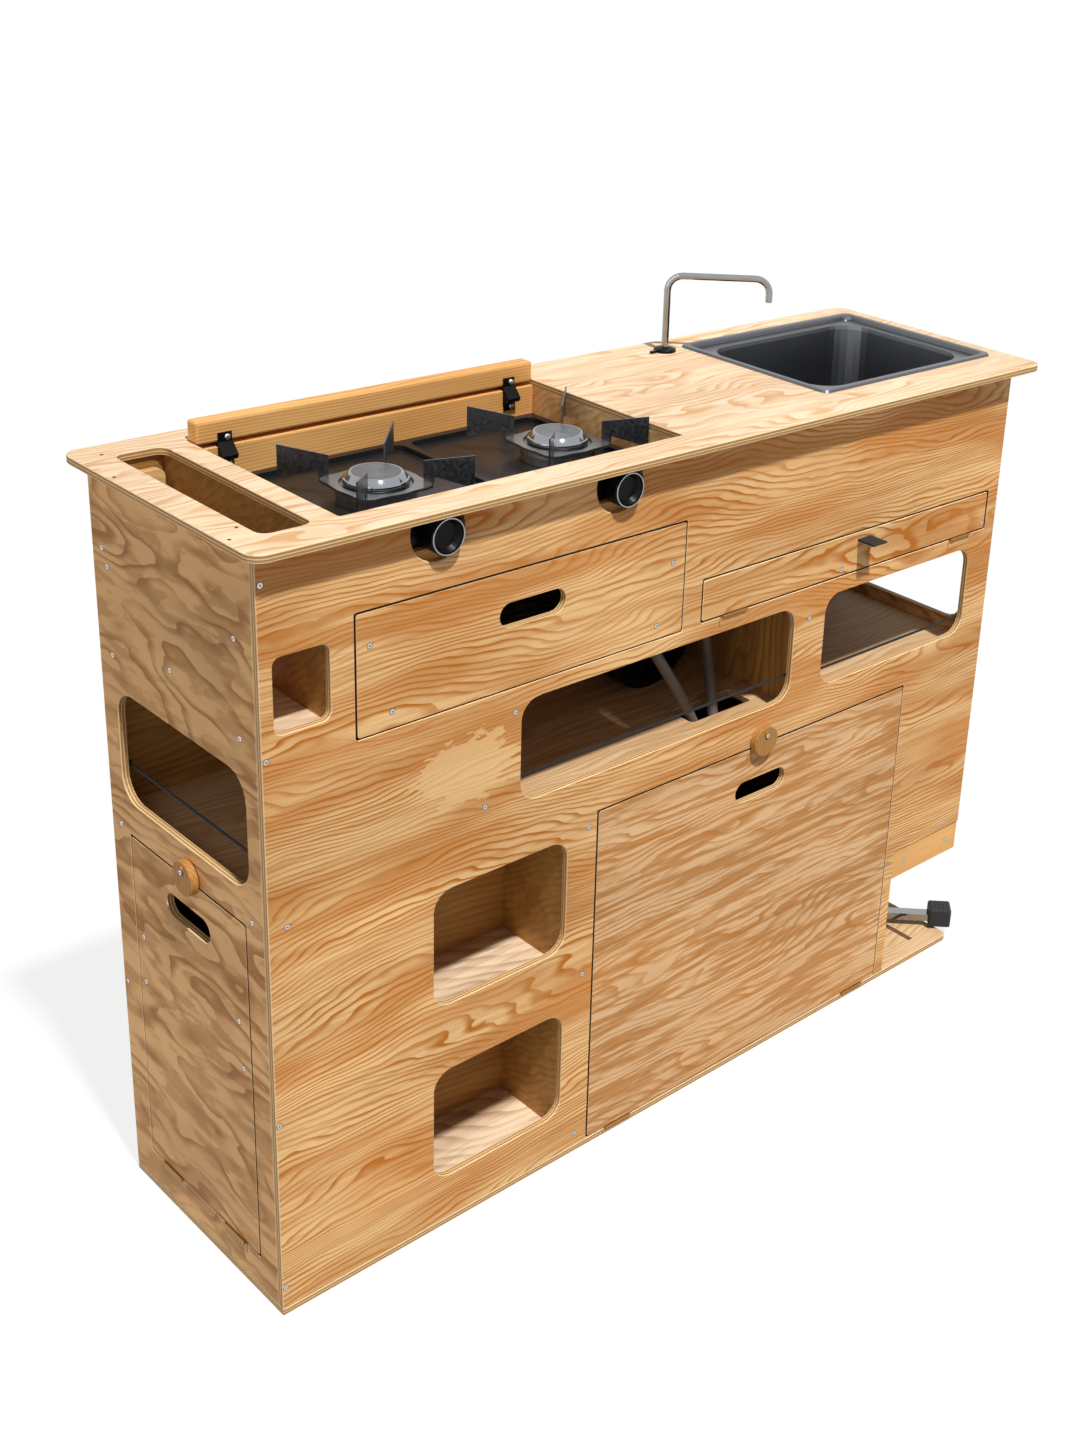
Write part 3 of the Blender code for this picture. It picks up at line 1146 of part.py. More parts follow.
def elastic_cords():
    depth = BEHIND_FRONT + KNOT_RADIUS
    z = WINDOW_BOTTOM + CORD_RISE
    reach = CORD_REACH
    right = PARTITION_X - WINDOW_POST_LEFT + reach
    elastic_cord("elastic_long_window", (LONG_WINDOW_LEFT - reach, depth, z), (right, depth, z))
    z = z - reach
    right = BODY_LENGTH - RIGHT_WINDOW_MARGIN + reach
    elastic_cord("elastic_right_window", (PARTITION_X + WINDOW_POST_RIGHT - reach, depth, z), (right, depth, z))
    z = END_WINDOW_BOTTOM + END_CORD_RISE
    rear = END_WINDOW_REAR + reach
    elastic_cord("elastic_end_window", (depth, END_WINDOW_FRONT - reach, z), (depth, rear, z))


def foot_pump():
    profile = [(0, 0), (PUMP_RADIUS, 0), (PUMP_RADIUS, PUMP_HEIGHT - PUMP_DOME)]
    profile += [(PUMP_RADIUS * 0.85, PUMP_HEIGHT - PUMP_DOME / 3), (PUMP_RADIUS * 0.5, PUMP_HEIGHT)]
    profile += [(0, PUMP_HEIGHT)]
    foot = BASE_TOP + FIT
    body = turned("pump_body", profile, black_plastic(), (PUMP_X, PUMP_Y, foot))
    turn = Matrix.Translation((PUMP_X, PUMP_Y, 0)) @ Matrix.Rotation(PUMP_ANGLE, 4, "Z")
    for i, step in enumerate((-1, 1)):
        near = step * PUMP_EAR_GAP / 2
        far = near + step * PUMP_EAR_THICK
        outline = [(0, foot + SHEET), (PUMP_EAR_REACH, foot + SHEET), (PUMP_EAR_REACH, LEVER_PIVOT_HEIGHT)]
        outline += [(PUMP_EAR_REACH - PUMP_DOME / 2, PUMP_HEIGHT - SHEET), (0, PUMP_HEIGHT - SHEET)]
        bm = board_mesh("xz", outline, [], min(near, far), max(near, far))
        bmesh.ops.transform(bm, matrix=turn, verts=bm.verts[:])
        union_piece(body, "pump_ear_%d" % i, bm)
    pivot = (LEVER_START, LEVER_PIVOT_HEIGHT)
    across = PUMP_EAR_GAP / 2 + PUMP_EAR_THICK / 2
    pin = union_piece(body, "pump_pin", board_mesh("xz", circle(*pivot, PUMP_PIN_RADIUS, 12), [], -across, across))
    pin.matrix_basis = turn
    origin = (LEVER_X, LEVER_Y, LEVER_PIVOT_HEIGHT)
    half = LEVER_WIDTH / 2
    inner = half - LEVER_SHEET
    z0 = LEVER_PIVOT_HEIGHT - LEVER_HEIGHT / 2
    z1 = LEVER_PIVOT_HEIGHT + LEVER_HEIGHT / 2
    end = PAD_REACH - PAD_LENGTH / 2
    outline = [(-half, z0), (-inner, z0), (-inner, z1 - LEVER_SHEET), (inner, z1 - LEVER_SHEET), (inner, z0)]
    outline += [(half, z0), (half, z1), (-half, z1)]
    bm = board_mesh("yz", outline, [], LEVER_START - LEVER_HEIGHT / 2, end)
    bmesh.ops.transform(bm, matrix=turn, verts=bm.verts[:])
    lever = finish("pump_lever", bm, chrome(), origin)
    hole = circle(*pivot, PUMP_PIN_RADIUS + FIT, 12)
    cutter = cut(lever, "lever_pin_hole", "xz", hole, -across, across)
    cutter.matrix_basis = turn
    bm = board_mesh("xy", rectangle(end + FIT, -PAD_WIDTH / 2, end + PAD_LENGTH, PAD_WIDTH / 2), [], PAD_FOOT,
                    PAD_FOOT + PAD_HEIGHT)
    bmesh.ops.transform(bm, matrix=turn, verts=bm.verts[:])
    arris(finish("pump_pad", bm, rubber(), origin), PAD_ROUND, 2)


def vent_drum():
    """Round vent on the shelf, facing forward, with fins from hub to rim."""
    z = SHELF_TOP + FIT + VENT_RADIUS
    centre = (VENT_X_FROM_LEFT, VENT_FRONT, z)
    inner = VENT_RADIUS - VENT_RIM
    back = -VENT_DEPTH
    profile = [(0, back), (VENT_RADIUS, back), (VENT_RADIUS, -SHEET), (VENT_RADIUS - SHEET, 0), (inner, 0)]
    profile += [(inner, -VENT_RECESS), (VENT_HUB, -VENT_RECESS), (VENT_HUB, -SHEET), (0, -SHEET)]
    body = turned("vent_drum", profile, black_plastic(), centre, (0, -1, 0))
    for i in range(VENT_FINS):
        half = VENT_FIN_THICK / 2
        outline = rectangle(VENT_HUB - SHEET, -half, inner + SHEET, half)
        bm = board_mesh("xz", outline, [], SHEET, VENT_RECESS + SHEET)
        turn = Matrix.Translation(Vector(centre)) @ Matrix.Rotation(2 * math.pi * i / VENT_FINS, 4, "Y")
        bmesh.ops.transform(bm, matrix=turn, verts=bm.verts[:])
        union_piece(body, "vent_fin_%d" % i, bm)


def hoses():
    """Gas and waste hoses through the shelf hole, and the pump's clear hose."""
    low = [(HOSE_HOLE_LEFT, INNER_BACK, SHELF_TOP * share) for share in LOW_BEND_SHARES]
    hole = (HOSE_HOLE_LEFT, HOSE_HOLE_FRONT, SHELF_TOP)
    flap_foot = (GAS_HOSE_START[0], GAS_HOSE_START[1], FLAP_BOTTOM)
    anchors = [GAS_HOSE_START, flap_foot, hole, hole, hole] + low
    bends = offset_points(anchors, GAS_OFFSETS)
    foot = (*bends[-1][:2], PANEL_FOOT)
    route = smooth_route([GAS_HOSE_START, *bends, foot], HOSE_TURNS)
    tube("gas_hose", route, HOSE_RADIUS, hose_rubber())
    start = (SINK_X, SINK_Y, BOWL_FLOOR - SHEET - WASTE_TAIL - FIT)
    below = (SINK_X, SINK_Y, start[2] - 2 * HOSE_RADIUS)
    crest = (PARTITION_X, HOSE_HOLE_FRONT, FLAP_BOTTOM)
    slack = (PARTITION_X, HOSE_HOLE_FRONT, SHELF_TOP)
    bends = offset_points([crest, crest, crest, slack, hole, hole] + low, WASTE_OFFSETS)
    foot = (*bends[-1][:2], PANEL_FOOT)
    route = smooth_route([start, below, *bends, foot], HOSE_TURNS)
    tube("waste_hose", route, HOSE_RADIUS, hose_rubber())
    end = (TAP_X, TAP_Y, TOP_HEIGHT - TAP_STEM_LENGTH - FIT)
    above = (PUMP_X, PUMP_Y, FOOT_RAIL_BOTTOM + 2 * FOOT_RAIL_HEIGHT)
    before = (TAP_X, TAP_Y, end[2] - 3 * WATER_HOSE_RADIUS)
    rise = [(PUMP_X, INNER_BACK, SHELF_TOP * share) for share in WATER_BEND_SHARES]
    side = (BODY_LENGTH, INNER_BACK, SHELF_TOP)
    high = (BODY_LENGTH, INNER_BACK, FLAP_BOTTOM)
    bends = offset_points(rise + [side, side, high, high, high], WATER_OFFSETS)
    route = smooth_route([WATER_HOSE_START, above, *bends, before, end], HOSE_TURNS)
    tube("water_hose", route, WATER_HOSE_RADIUS, clear_vinyl())


BRACKETS = (RECESS_LEFT + BRACKET_LEFT, RECESS_RIGHT - BRACKET_RIGHT)
RAIL_AXIS = (REAR_WALL_FRONT - KNUCKLE_RADIUS - FIT + BRACKET_THICK, TOP_HEIGHT - RAIL_DROP - BRACKET_DROP)
GAS_HOSE_START = (RECESS_RIGHT - GAS_HEAD_INSET, INNER_BACK - GAS_HEAD_FROM_BACK, HOB_FOOT - FIT)
WATER_HOSE_SHELF = (BODY_LENGTH - WATER_HOLE_FROM_RIGHT, INNER_BACK - WATER_HOLE_FROM_BACK)
WATER_HOSE_START = (PUMP_X, PUMP_Y, BASE_TOP + PUMP_HEIGHT + 2 * FIT)

clear_scene()
POD = bpy.data.objects.new("pod", None)
POD.location = -CENTRE
bpy.context.scene.collection.objects.link(POD)

base_plate()
front_panel()
end_panels()
back_panel()
foot_space()
partitions()
mid_shelf()
cubby_block()
worktop()
pocket()
hob_recess()
hinged_rail()
hob()
for burner_side, burner_x in BURNERS:
    burner(burner_side, burner_x)
    pan_support(burner_side, burner_x)
for knob_side, knob_place in KNOBS:
    knob(knob_side, knob_place)
sink()
tap()
drawer()
hinges()
flap()
doors()
elastic_cords()
foot_pump()
vent_drum()
hoses()
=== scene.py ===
"""Looks, small fittings, cords, hoses, stage and camera of a campervan kitchen pod in fir plywood."""

from collections import namedtuple
from math import cos, pi, radians, sin

import bmesh
import bpy
from mathutils import Matrix, Vector


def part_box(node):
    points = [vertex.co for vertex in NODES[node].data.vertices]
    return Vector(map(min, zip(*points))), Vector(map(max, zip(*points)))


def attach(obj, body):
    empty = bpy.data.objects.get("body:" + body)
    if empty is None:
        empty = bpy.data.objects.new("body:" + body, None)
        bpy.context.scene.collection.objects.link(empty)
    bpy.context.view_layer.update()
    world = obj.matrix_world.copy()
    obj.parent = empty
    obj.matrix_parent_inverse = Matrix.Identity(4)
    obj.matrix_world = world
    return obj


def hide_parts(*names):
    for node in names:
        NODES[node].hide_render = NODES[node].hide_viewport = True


bl_info = {
    "name": "Kitchen Pod Looks",
    "version": (1, 0, 0),
    "blender": (4, 5, 0),
    "location": "3D View > Sidebar > Kitchen Pod",
    "description": "Plywood, metals, screws, cords, hoses and a studio stage for a campervan kitchen pod",
    "category": "Object",
}

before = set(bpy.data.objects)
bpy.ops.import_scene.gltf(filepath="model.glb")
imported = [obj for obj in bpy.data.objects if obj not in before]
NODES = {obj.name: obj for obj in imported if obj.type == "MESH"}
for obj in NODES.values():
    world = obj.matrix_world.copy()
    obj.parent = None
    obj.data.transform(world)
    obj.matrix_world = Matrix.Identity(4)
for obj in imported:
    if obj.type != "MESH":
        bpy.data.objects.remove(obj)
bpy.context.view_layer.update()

# Places below are measured from the foot of the pod's front left edge.
ORIGIN = Vector((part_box("front_panel")[0][0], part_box("front_panel")[0][1], 0.0))
PLY_LAYER = 0.0018
SHARP_ANGLE = radians(32)
# Settings that many shader nodes share: an eased ramp, and a mix of two colours.
SMOOTH = {"interpolation_type": "SMOOTHSTEP"}
TINTS = {"data_type": "RGBA"}

# Screw heads seen in the photo. Each group gives the body they ride on, the node whose face they are
# in, the axis square to that face, and their places along the other two axes.
SCREWS = {
    "screws_front": ("pod_body", "front_panel", 1, (
        (0.0053, 0.8612), (0.3086, 0.6393), (0.2686, 0.5374), (0.42, 0.4585), (0.4175, 0.2583),
        (0.4136, 0.0274), (0.0216, 0.4877), (0.0037, 0.2522), (0.0042, 0.037), (0.0046, 0.6785),
        (0.7766, 0.6273), (1.1097, 0.2159),
    )),
    "screws_flap": ("flap_leaf", "front_panel", 1, ((1.117, 0.6811), (0.83, 0.6797))),
    "screws_drawer": ("drawer", "front_panel", 1, (
        (0.124, 0.7682), (0.1498, 0.6886), (0.5336, 0.759), (0.5118, 0.687),
    )),
    "screw_door_button": ("door_turn_button", "door_button", 1, ((0.7032, 0.4906),)),
    "screws_foot_rail": ("pod_body", "foot_rail", 1, ((1.0267, 0.1842), (1.121, 0.1842))),
    "screws_end": ("pod_body", "left_end_panel", 0, (
        (0.2978, 0.8062), (0.2884, 0.7881), (0.0421, 0.7944), (0.2902, 0.6872), (0.1691, 0.7142),
        (0.0386, 0.6896), (0.2984, 0.4811), (0.0307, 0.4859), (0.3101, 0.2698),
    )),
    "screws_end_door": ("end_door_leaf", "left_end_panel", 0, (
        (0.0655, 0.3487), (0.06, 0.2923), (0.2638, 0.3521), (0.2657, 0.2923),
    )),
    "screw_end_button": ("end_turn_button", "end_button", 0, ((0.1512, 0.4922),)),
    "screws_worktop": ("pod_body", "worktop", 2, (
        (-0.0078, 0.2433), (0.0148, 0.0534), (-0.0068, 0.0295), (0.0148, 0.313),
    )),
}

# Plates let into a panel below each leaf's hinges: the panel, the axis square to it, how far they
# reach down, and places as in SCREWS, at the leaf's lower edge.
HINGE_PLATES = {
    "hinge_plates_flap": ("front_panel", 1, 0.013, ((0.6388, 0.6717), (1.0691, 0.6717))),
    "hinge_plates_door": ("front_panel", 1, 0.008, ((0.4843, 0.0095), (0.9321, 0.0095))),
    "hinge_plates_end": ("left_end_panel", 0, 0.012, ((0.0939, 0.0523), (0.2285, 0.0523))),
}

KNOBS = (("knob_left", "left_knob"), ("knob_right", "right_knob"))

GAS_ROUTE = (
    (0.5515, 0.180, 0.8117), (0.5515, 0.180, 0.760), (0.5685, 0.138, 0.670), (0.606, 0.094, 0.5877),
    (0.652, 0.078, 0.5007), (0.668, 0.080, 0.440), (0.640, 0.160, 0.300), (0.600, 0.240, 0.120),
    (0.596, 0.246, 0.060), (0.596, 0.246, 0.0093),
)
WASTE_ROUTE = (
    (0.98935, 0.1752, 0.7387), (0.98935, 0.1752, 0.7241), (0.900, 0.160, 0.690),
    (0.782, 0.154, 0.682), (0.735, 0.150, 0.636), (0.7215, 0.122, 0.5557), (0.697, 0.084, 0.5007),
    (0.700, 0.082, 0.4407), (0.740, 0.150, 0.300), (0.760, 0.240, 0.120), (0.762, 0.246, 0.060),
    (0.762, 0.246, 0.0093),
)
WATER_ROUTE = (
    (1.059, 0.128, 0.0496), (1.059, 0.128, 0.251), (1.064, 0.190, 0.320), (1.020, 0.272, 0.400),
    (1.000, 0.285, 0.455), (1.000, 0.285, 0.530), (0.985, 0.290, 0.640), (0.930, 0.292, 0.715),
    (0.840, 0.296, 0.760), (0.791, 0.300, 0.8467), (0.791, 0.300, 0.8647),
)
CORD_ENDS = {
    "elastic_long_window": ((0.3077, 0.0135, 0.5508), (0.7596, 0.0135, 0.5508)),
    "elastic_right_window": ((0.7963, 0.0135, 0.5408), (1.1066, 0.0135, 0.5408)),
    "elastic_end_window": ((0.0135, 0.023, 0.5521), (0.0135, 0.2988, 0.5521)),
}

# The figure of a veneer. along and wide: reach of the slow swirl with and across the grain, in
# metres. swirl and ripple: how many rings each shifts the lines by. onset: where in a ring latewood
# sets in, as a share. lines, fading, zones and flames: shares of dark lines, of their fading in
# places, of broad warm zones and of ragged flames. flame_along and flame_wide: reach of a flame.
Figure = namedtuple(
    "Figure", "along wide swirl ripple onset lines fading zones flames flame_along flame_wide"
)
FRONT_FIGURE = Figure(0.50, 0.12, 26.0, 2.2, 0.45, 1.0, 0.50, 0.60, 0.30, 0.20, 0.008)
DOOR_FIGURE = Figure(0.40, 0.10, 17.0, 2.4, 0.40, 0.85, 0.60, 0.20, 0.75, 0.16, 0.010)
END_FIGURE = Figure(0.26, 0.11, 12.0, 1.4, 0.40, 0.85, 0.75, 0.15, 0.45, 0.09, 0.024)
TOP_FIGURE = Figure(0.30, 0.09, 15.0, 1.4, 0.30, 0.75, 0.80, 0.10, 0.25, 0.15, 0.015)
INNER_FIGURE = Figure(0.36, 0.11, 12.0, 1.4, 0.30, 0.60, 0.60, 0.30, 0.30, 0.15, 0.015)
BOX_FIGURE = Figure(0.36, 0.12, 6.0, 0.8, 0.30, 0.45, 0.70, 0.30, 0.25, 0.15, 0.015)
PINE_FIGURE = Figure(0.60, 0.10, 8.0, 0.5, 0.35, 0.70, 0.60, 0.35, 0.10, 0.20, 0.006)
DISC_FIGURE = Figure(0.30, 0.10, 4.0, 0.5, 0.35, 0.60, 0.50, 0.50, 0.20, 0.05, 0.004)

CAMERA_PLACE = Vector((-1.39380, -1.53196, 1.51716))
CAMERA_AZIMUTH, CAMERA_ELEVATION, CAMERA_ROLL = -46.428, 21.780, 3.755
CAMERA_LENS, CAMERA_SENSOR = 45.247, 36.0
CAMERA_SHIFT = (-0.13204, -0.10339)


def linear(code):
    """Turns an sRGB hex code into linear red, green and blue."""
    shares = [int(code[i : i + 2], 16) / 255 for i in (0, 2, 4)]
    return tuple(c / 12.92 if c <= 0.04045 else ((c + 0.055) / 1.055) ** 2.4 for c in shares)


def length(title, default, description):
    """One size of the panel, in metres."""
    return bpy.props.FloatProperty(
        name=title, description=description, default=default, min=0.0001, precision=4, unit="LENGTH"
    )


def colour(title, code, description):
    """One colour of the panel."""
    return bpy.props.FloatVectorProperty(
        name=title, description=description, default=linear(code), min=0, max=1, subtype="COLOR"
    )


class PodSizes(bpy.types.PropertyGroup):
    """Real sizes of the added pieces and of the wood's figure."""

    screw_radius: length("Screw head", 0.0031, "Radius of a countersunk screw head")
    screw_rise: length("Screw rise", 0.0004, "How far a screw head stands over the board")
    pin_radius: length("Pin head", 0.0017, "Radius of a small pin's head in the worktop")
    leaf_width: length("Bracket leaf", 0.0170, "Width of the leaves of the hinged rail's brackets")
    leaf_drop: length("Bracket leaf height", 0.0105, "Height of each leaf of those brackets")
    leaf_thick: length("Bracket steel", 0.0015, "Thickness of those brackets")
    front_pitch: length("Front grain", 0.0070, "Distance between latewood lines on the front sheet")
    door_pitch: length("Door grain", 0.0110, "Distance between latewood bands on the large door")
    end_pitch: length("End grain", 0.100, "Distance between latewood bands on the left end")
    top_pitch: length("Worktop grain", 0.0150, "Distance between latewood bands on the worktop")
    pine_pitch: length("Pine grain", 0.0040, "Distance between the growth rings of the solid pine")
    hose_radius: length("Hose", 0.0073, "Outer radius of the gas and waste hoses")
    water_radius: length("Water hose", 0.0060, "Outer radius of the clear water hose")
    cord_radius: length("Elastic cord", 0.0020, "Radius of the elastic cords")
    strap_layer: length("Strap layer", 0.0011, "Thickness of the webbing of the flap's pull")
    hinge_plate: length("Hinge plate", 0.0460, "Width of the plate let in below a hinge")
    floor_size: length("Floor", 40.0, "Side of the studio floor")


class PodColours(bpy.types.PropertyGroup):
    """Surface colours of the pod's materials."""

    front_early: colour("Front earlywood", "F7CC91", "Pale wood between the lines of the front sheet")
    front_late: colour("Front latewood", "C06F10", "Dark lines of the front sheet")
    door_early: colour("Door earlywood", "EBC293", "Pale wood of the large door")
    door_late: colour("Door latewood", "BC7A30", "Dark flames of the large door")
    end_early: colour("End earlywood", "F6C386", "Pale wood of the left end")
    end_late: colour("End latewood", "A0641E", "Dark wood of the left end")
    top_early: colour("Worktop earlywood", "F4DABA", "Pale wood of the worktop")
    top_late: colour("Worktop latewood", "CF975E", "Figure of the worktop")
    base_early: colour("Base earlywood", "DDBF97", "Pale wood of the base plate")
    base_late: colour("Base latewood", "B98248", "Figure of the base plate")
    # The inside tones are darker than the wood itself: painted shade for the dim inside.
    inner_early: colour("Inner earlywood", "BE9050", "Pale wood of the boards inside")
    inner_late: colour("Inner latewood", "845624", "Dark wood of the boards inside")
    pine_early: colour("Pine earlywood", "F6C07A", "Pale wood of the solid pine")
    pine_late: colour("Pine latewood", "C88139", "Growth rings of the solid pine")
    disc_early: colour("Button earlywood", "C08B4C", "Pale wood of the turn buttons")
    disc_late: colour("Button latewood", "93612F", "Growth rings of the turn buttons")
    # Paler partly from sanding, partly as painted highlight along the edges.
    sanded_arris_and_highlight: colour("Sanded edge", "F6DDB4", "Sanded corner between a board's face and edge")
    edge: colour("Ply edge", "F0CF9B", "Long-grain layers on a board's edge")
    edge_end: colour("Ply edge, end grain", "BE8D55", "End-grain layers on a board's edge")
    # This colour also serves as painted shade in the gaps round leaves, plates and screws.
    glue: colour("Glue line", "4A2E17", "Glue between the layers of plywood")
    enamel: colour("Enamel", "191A1C", "Black enamel of the hob")
    # On the tops of the burner caps this colour is a painted darker reflection.
    steel: colour("Dark steel", "6E7074", "Pan supports and tops of the burner caps")
    chrome: colour("Chrome", "9A9DA1", "Tap, rims of the burner caps and lever")
    cast: colour("Cast ring", "8C8C8B", "Cast burner rings")
    stainless: colour("Stainless", "6C6E71", "Sink bowl")
    zinc: colour("Zinc", "CACAC8", "Screw heads")
    brass: colour("Brass", "A57A43", "Hinge knuckles")
    plastic: colour("Black plastic", "0D0D0E", "Knobs, tap base and vent")
    rubber: colour("Black rubber", "1B1B1D", "Pedal pad")
    hose: colour("Hose", "6A635C", "Gas and waste hoses")
    webbing: colour("Webbing", "0F0F10", "Pull strap and elastic cords")
    vinyl: colour("Clear vinyl", "E6ECEE", "Water hose")
    floor: colour("Floor", "9A9896", "Studio floor, as it lights the pod")


def feed(node, feeds):
    """Feeds a node's inputs, in order or by name or number. Each feed is a value, an output, or a
    node, which stands for its first output in use."""
    for socket, source in feeds.items() if isinstance(feeds, dict) else enumerate(feeds):
        if isinstance(source, bpy.types.Node):
            source = next(output for output in source.outputs if output.enabled)
        if isinstance(source, bpy.types.NodeSocket):
            node.id_data.links.new(source, node.inputs[socket])
        else:
            node.inputs[socket].default_value = source


def add(tree, kind, feeds=(), operation=None, **settings):
    """Adds one shader node. operation and settings are its properties, and feeds its inputs."""
    made = tree.nodes.new("ShaderNode" + kind)
    if operation:
        made.operation = operation
    for name, value in settings.items():
        setattr(made, name, value)
    feed(made, feeds)
    return made


def start_material(name):
    """A new material with an empty tree, its output node and a Principled surface."""
    material = bpy.data.materials.new(name)
    material.use_nodes = True
    tree = material.node_tree
    tree.nodes.clear()
    surface = add(tree, "BsdfPrincipled")
    add(tree, "OutputMaterial", {"Surface": surface})
    return material, tree, surface


def pattern(tree, place, reach, detail=2.0, roughness=0.5):
    """A random pattern whose features are about reach metres long along each axis."""
    scaled = add(tree, "VectorMath", (place, [1 / r for r in reach]), "MULTIPLY")
    feeds = {"Vector": scaled, "Scale": 1.0, "Detail": detail, "Roughness": roughness}
    return add(tree, "TexNoise", feeds)


def reaches(grain, along, cross):
    """Reach of a pattern along the grain axis and across it."""
    return [along if axis == grain else cross for axis in range(3)]


def corners(node):
    """Lowest and highest corner of a CAD node at rest."""
    low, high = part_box(node)
    return Vector(low), Vector(high)


def paint(names, material):
    """Gives one material to every slot of these CAD nodes."""
    for name in names:
        for slot in NODES[name].material_slots:
            slot.material = material


def wood(
    name, tones, colours, grain, across, pitch, figure, thick=None, start=0.0, patch=None, floor=None,
    leaves=(),
):
    """Softwood seen on a rotary-cut veneer or a sawn face: rings of earlywood that darken into
    latewood and break off at a sharp line, bent by a slow swirl and by small ripples, among broad
    warm zones and ragged flames. tones are its earlywood and latewood, pitch the ring's width.
    thick is the axis through a plywood board, whose edges show its layers and glue lines, and start
    is where the first layer begins. patch is the middle and reach of a paler place. floor is a paler
    earlywood for the faces that look up: painted light, as where the sun falls on the floors inside.
    leaves are nodes with a narrow gap round them, along which the board edges are darkened with
    painted shade.
    """
    early, late = ((*tone, 1) for tone in tones)
    edge_tone, end_tone, glue, sanded_arris_and_highlight = (
        (*tone, 1) for tone in (colours.edge, colours.edge_end, colours.glue, colours.sanded_arris_and_highlight)
    )
    f = figure
    material, tree, surface = start_material(name)
    spot = add(tree, "TexCoord")
    place, normal = spot.outputs["Object"], spot.outputs["Normal"]
    swirl, ripple, thinning, flame, zone, fibre, blotch = (
        pattern(tree, place, reaches(grain, along, cross), detail, roughness)
        for along, cross, detail, roughness in (
            (f.along, f.wide, 2.0, 0.45),
            (0.085, 0.03, 2.0, 0.5),
            (0.16, 0.035, 2.0, 0.5),
            (f.flame_along, f.flame_wide, 4.0, 0.6),
            (0.34, 0.055, 2.0, 0.5),
            # Fibres are finer than 0.1 mm: they are drawn a millimetre wide, or they would vanish.
            (0.03, 0.0011, 3.0, 0.6),
            (0.30, 0.12, 1.0, 0.5),
        )
    )
    depth = add(tree, "VectorMath", (place, across), "DOT_PRODUCT")
    rings = add(tree, "Math", (depth, pitch), "DIVIDE")
    for bend, amount in ((swirl, f.swirl), (ripple, f.ripple)):
        rings = add(tree, "Math", (bend, amount, rings), "MULTIPLY_ADD")
    phase = add(tree, "Math", (rings,), "FRACT")
    darkening, breaking, fade, flames, zones = (
        add(tree, "MapRange", (value, low, high), **SMOOTH)
        for value, low, high in (
            (phase, f.onset, 0.90), (phase, 1.0, 0.95), (thinning, 0.34, 0.62), (flame, 0.48, 0.57),
            (zone, 0.40, 0.62),
        )
    )
    latewood = add(tree, "Math", (darkening, breaking), "MULTIPLY")
    fade = add(tree, "Math", (fade, f.fading, 1 - f.fading), "MULTIPLY_ADD")
    fade = add(tree, "Math", (fade, f.lines), "MULTIPLY")
    lines = add(tree, "Math", (latewood, fade), "MULTIPLY")
    flames = add(tree, "Math", (flames, f.flames), "MULTIPLY")
    zones = add(tree, "Math", (zones, f.zones), "MULTIPLY")
    pale, *others = (add(tree, "Math", (1.0, dark), "SUBTRACT") for dark in (lines, flames, zones))
    for other in others:
        pale = add(tree, "Math", (pale, other), "MULTIPLY")
    streak = add(tree, "Math", (0.5, fibre), "SUBTRACT")
    pale = add(tree, "Math", (streak, 0.35, pale), "MULTIPLY_ADD", use_clamp=True)
    share = add(tree, "Math", (1.0, pale), "SUBTRACT")
    parts = add(tree, "SeparateXYZ", (normal,)).outputs
    ground = early
    # Painted light: faces that look up take the paler floor earlywood, as where the sun falls inside.
    if floor:
        upward = add(tree, "MapRange", (parts[2], 0.7, 0.9), **SMOOTH)
        ground = add(tree, "Mix", {0: upward, 6: ground, 7: (*floor, 1)}, **TINTS)
    face = add(tree, "Mix", {0: share, 6: ground, 7: late}, **TINTS)
    if patch:
        middle, radii = patch
        off = add(tree, "VectorMath", (place, middle), "SUBTRACT")
        off = add(tree, "VectorMath", (off, [1 / r for r in radii]), "MULTIPLY")
        reach = add(tree, "VectorMath", (off,), "LENGTH")
        ragged = pattern(tree, place, reaches(grain, 0.03, 0.010), 3.0, 0.6)
        reach = add(tree, "Math", (ragged, 1.5, reach), "MULTIPLY_ADD")
        inside = add(tree, "MapRange", (reach, 1.80, 1.72), **SMOOTH)
        inside = add(tree, "Math", (inside, 0.72), "MULTIPLY")
        face = add(tree, "Mix", {0: inside, 6: face, 7: early}, **TINTS)
    # Noise keeps near its middle, so the tones are spread by more than they seem to need.
    value = 1.0
    for noise, spread in ((blotch, 0.45), (fibre, 0.28)):
        away = add(tree, "Math", (noise, 0.5), "SUBTRACT")
        value = add(tree, "Math", (away, spread, value), "MULTIPLY_ADD")
    face = add(tree, "HueSaturation", {"Color": face, "Value": value})
    if thick is not None:
        flat = add(tree, "Math", (parts[thick],), "ABSOLUTE")
        level = add(tree, "SeparateXYZ", (place,)).outputs[thick]
        height = add(tree, "Math", (level, start), "SUBTRACT")
        layer = add(tree, "Math", (height, PLY_LAYER), "DIVIDE")
        within = add(tree, "Math", (layer,), "FRACT")
        pair = add(tree, "Math", (layer, 2.0), "DIVIDE")
        pair = add(tree, "Math", (pair,), "FRACT")
        other = add(tree, "Math", (pair, 0.5), "GREATER_THAN")
        edge = add(tree, "Mix", {0: other, 6: edge_tone, 7: end_tone}, **TINTS)
        sides = [
            add(tree, "MapRange", (within, low, high), **SMOOTH) for low, high in ((0.14, 0.05), (0.86, 0.95))
        ]
        line = add(tree, "Math", sides, "MAXIMUM")
        line = add(tree, "Math", (line, 0.75), "MULTIPLY")
        edge = add(tree, "Mix", {0: line, 6: edge, 7: glue}, **TINTS)
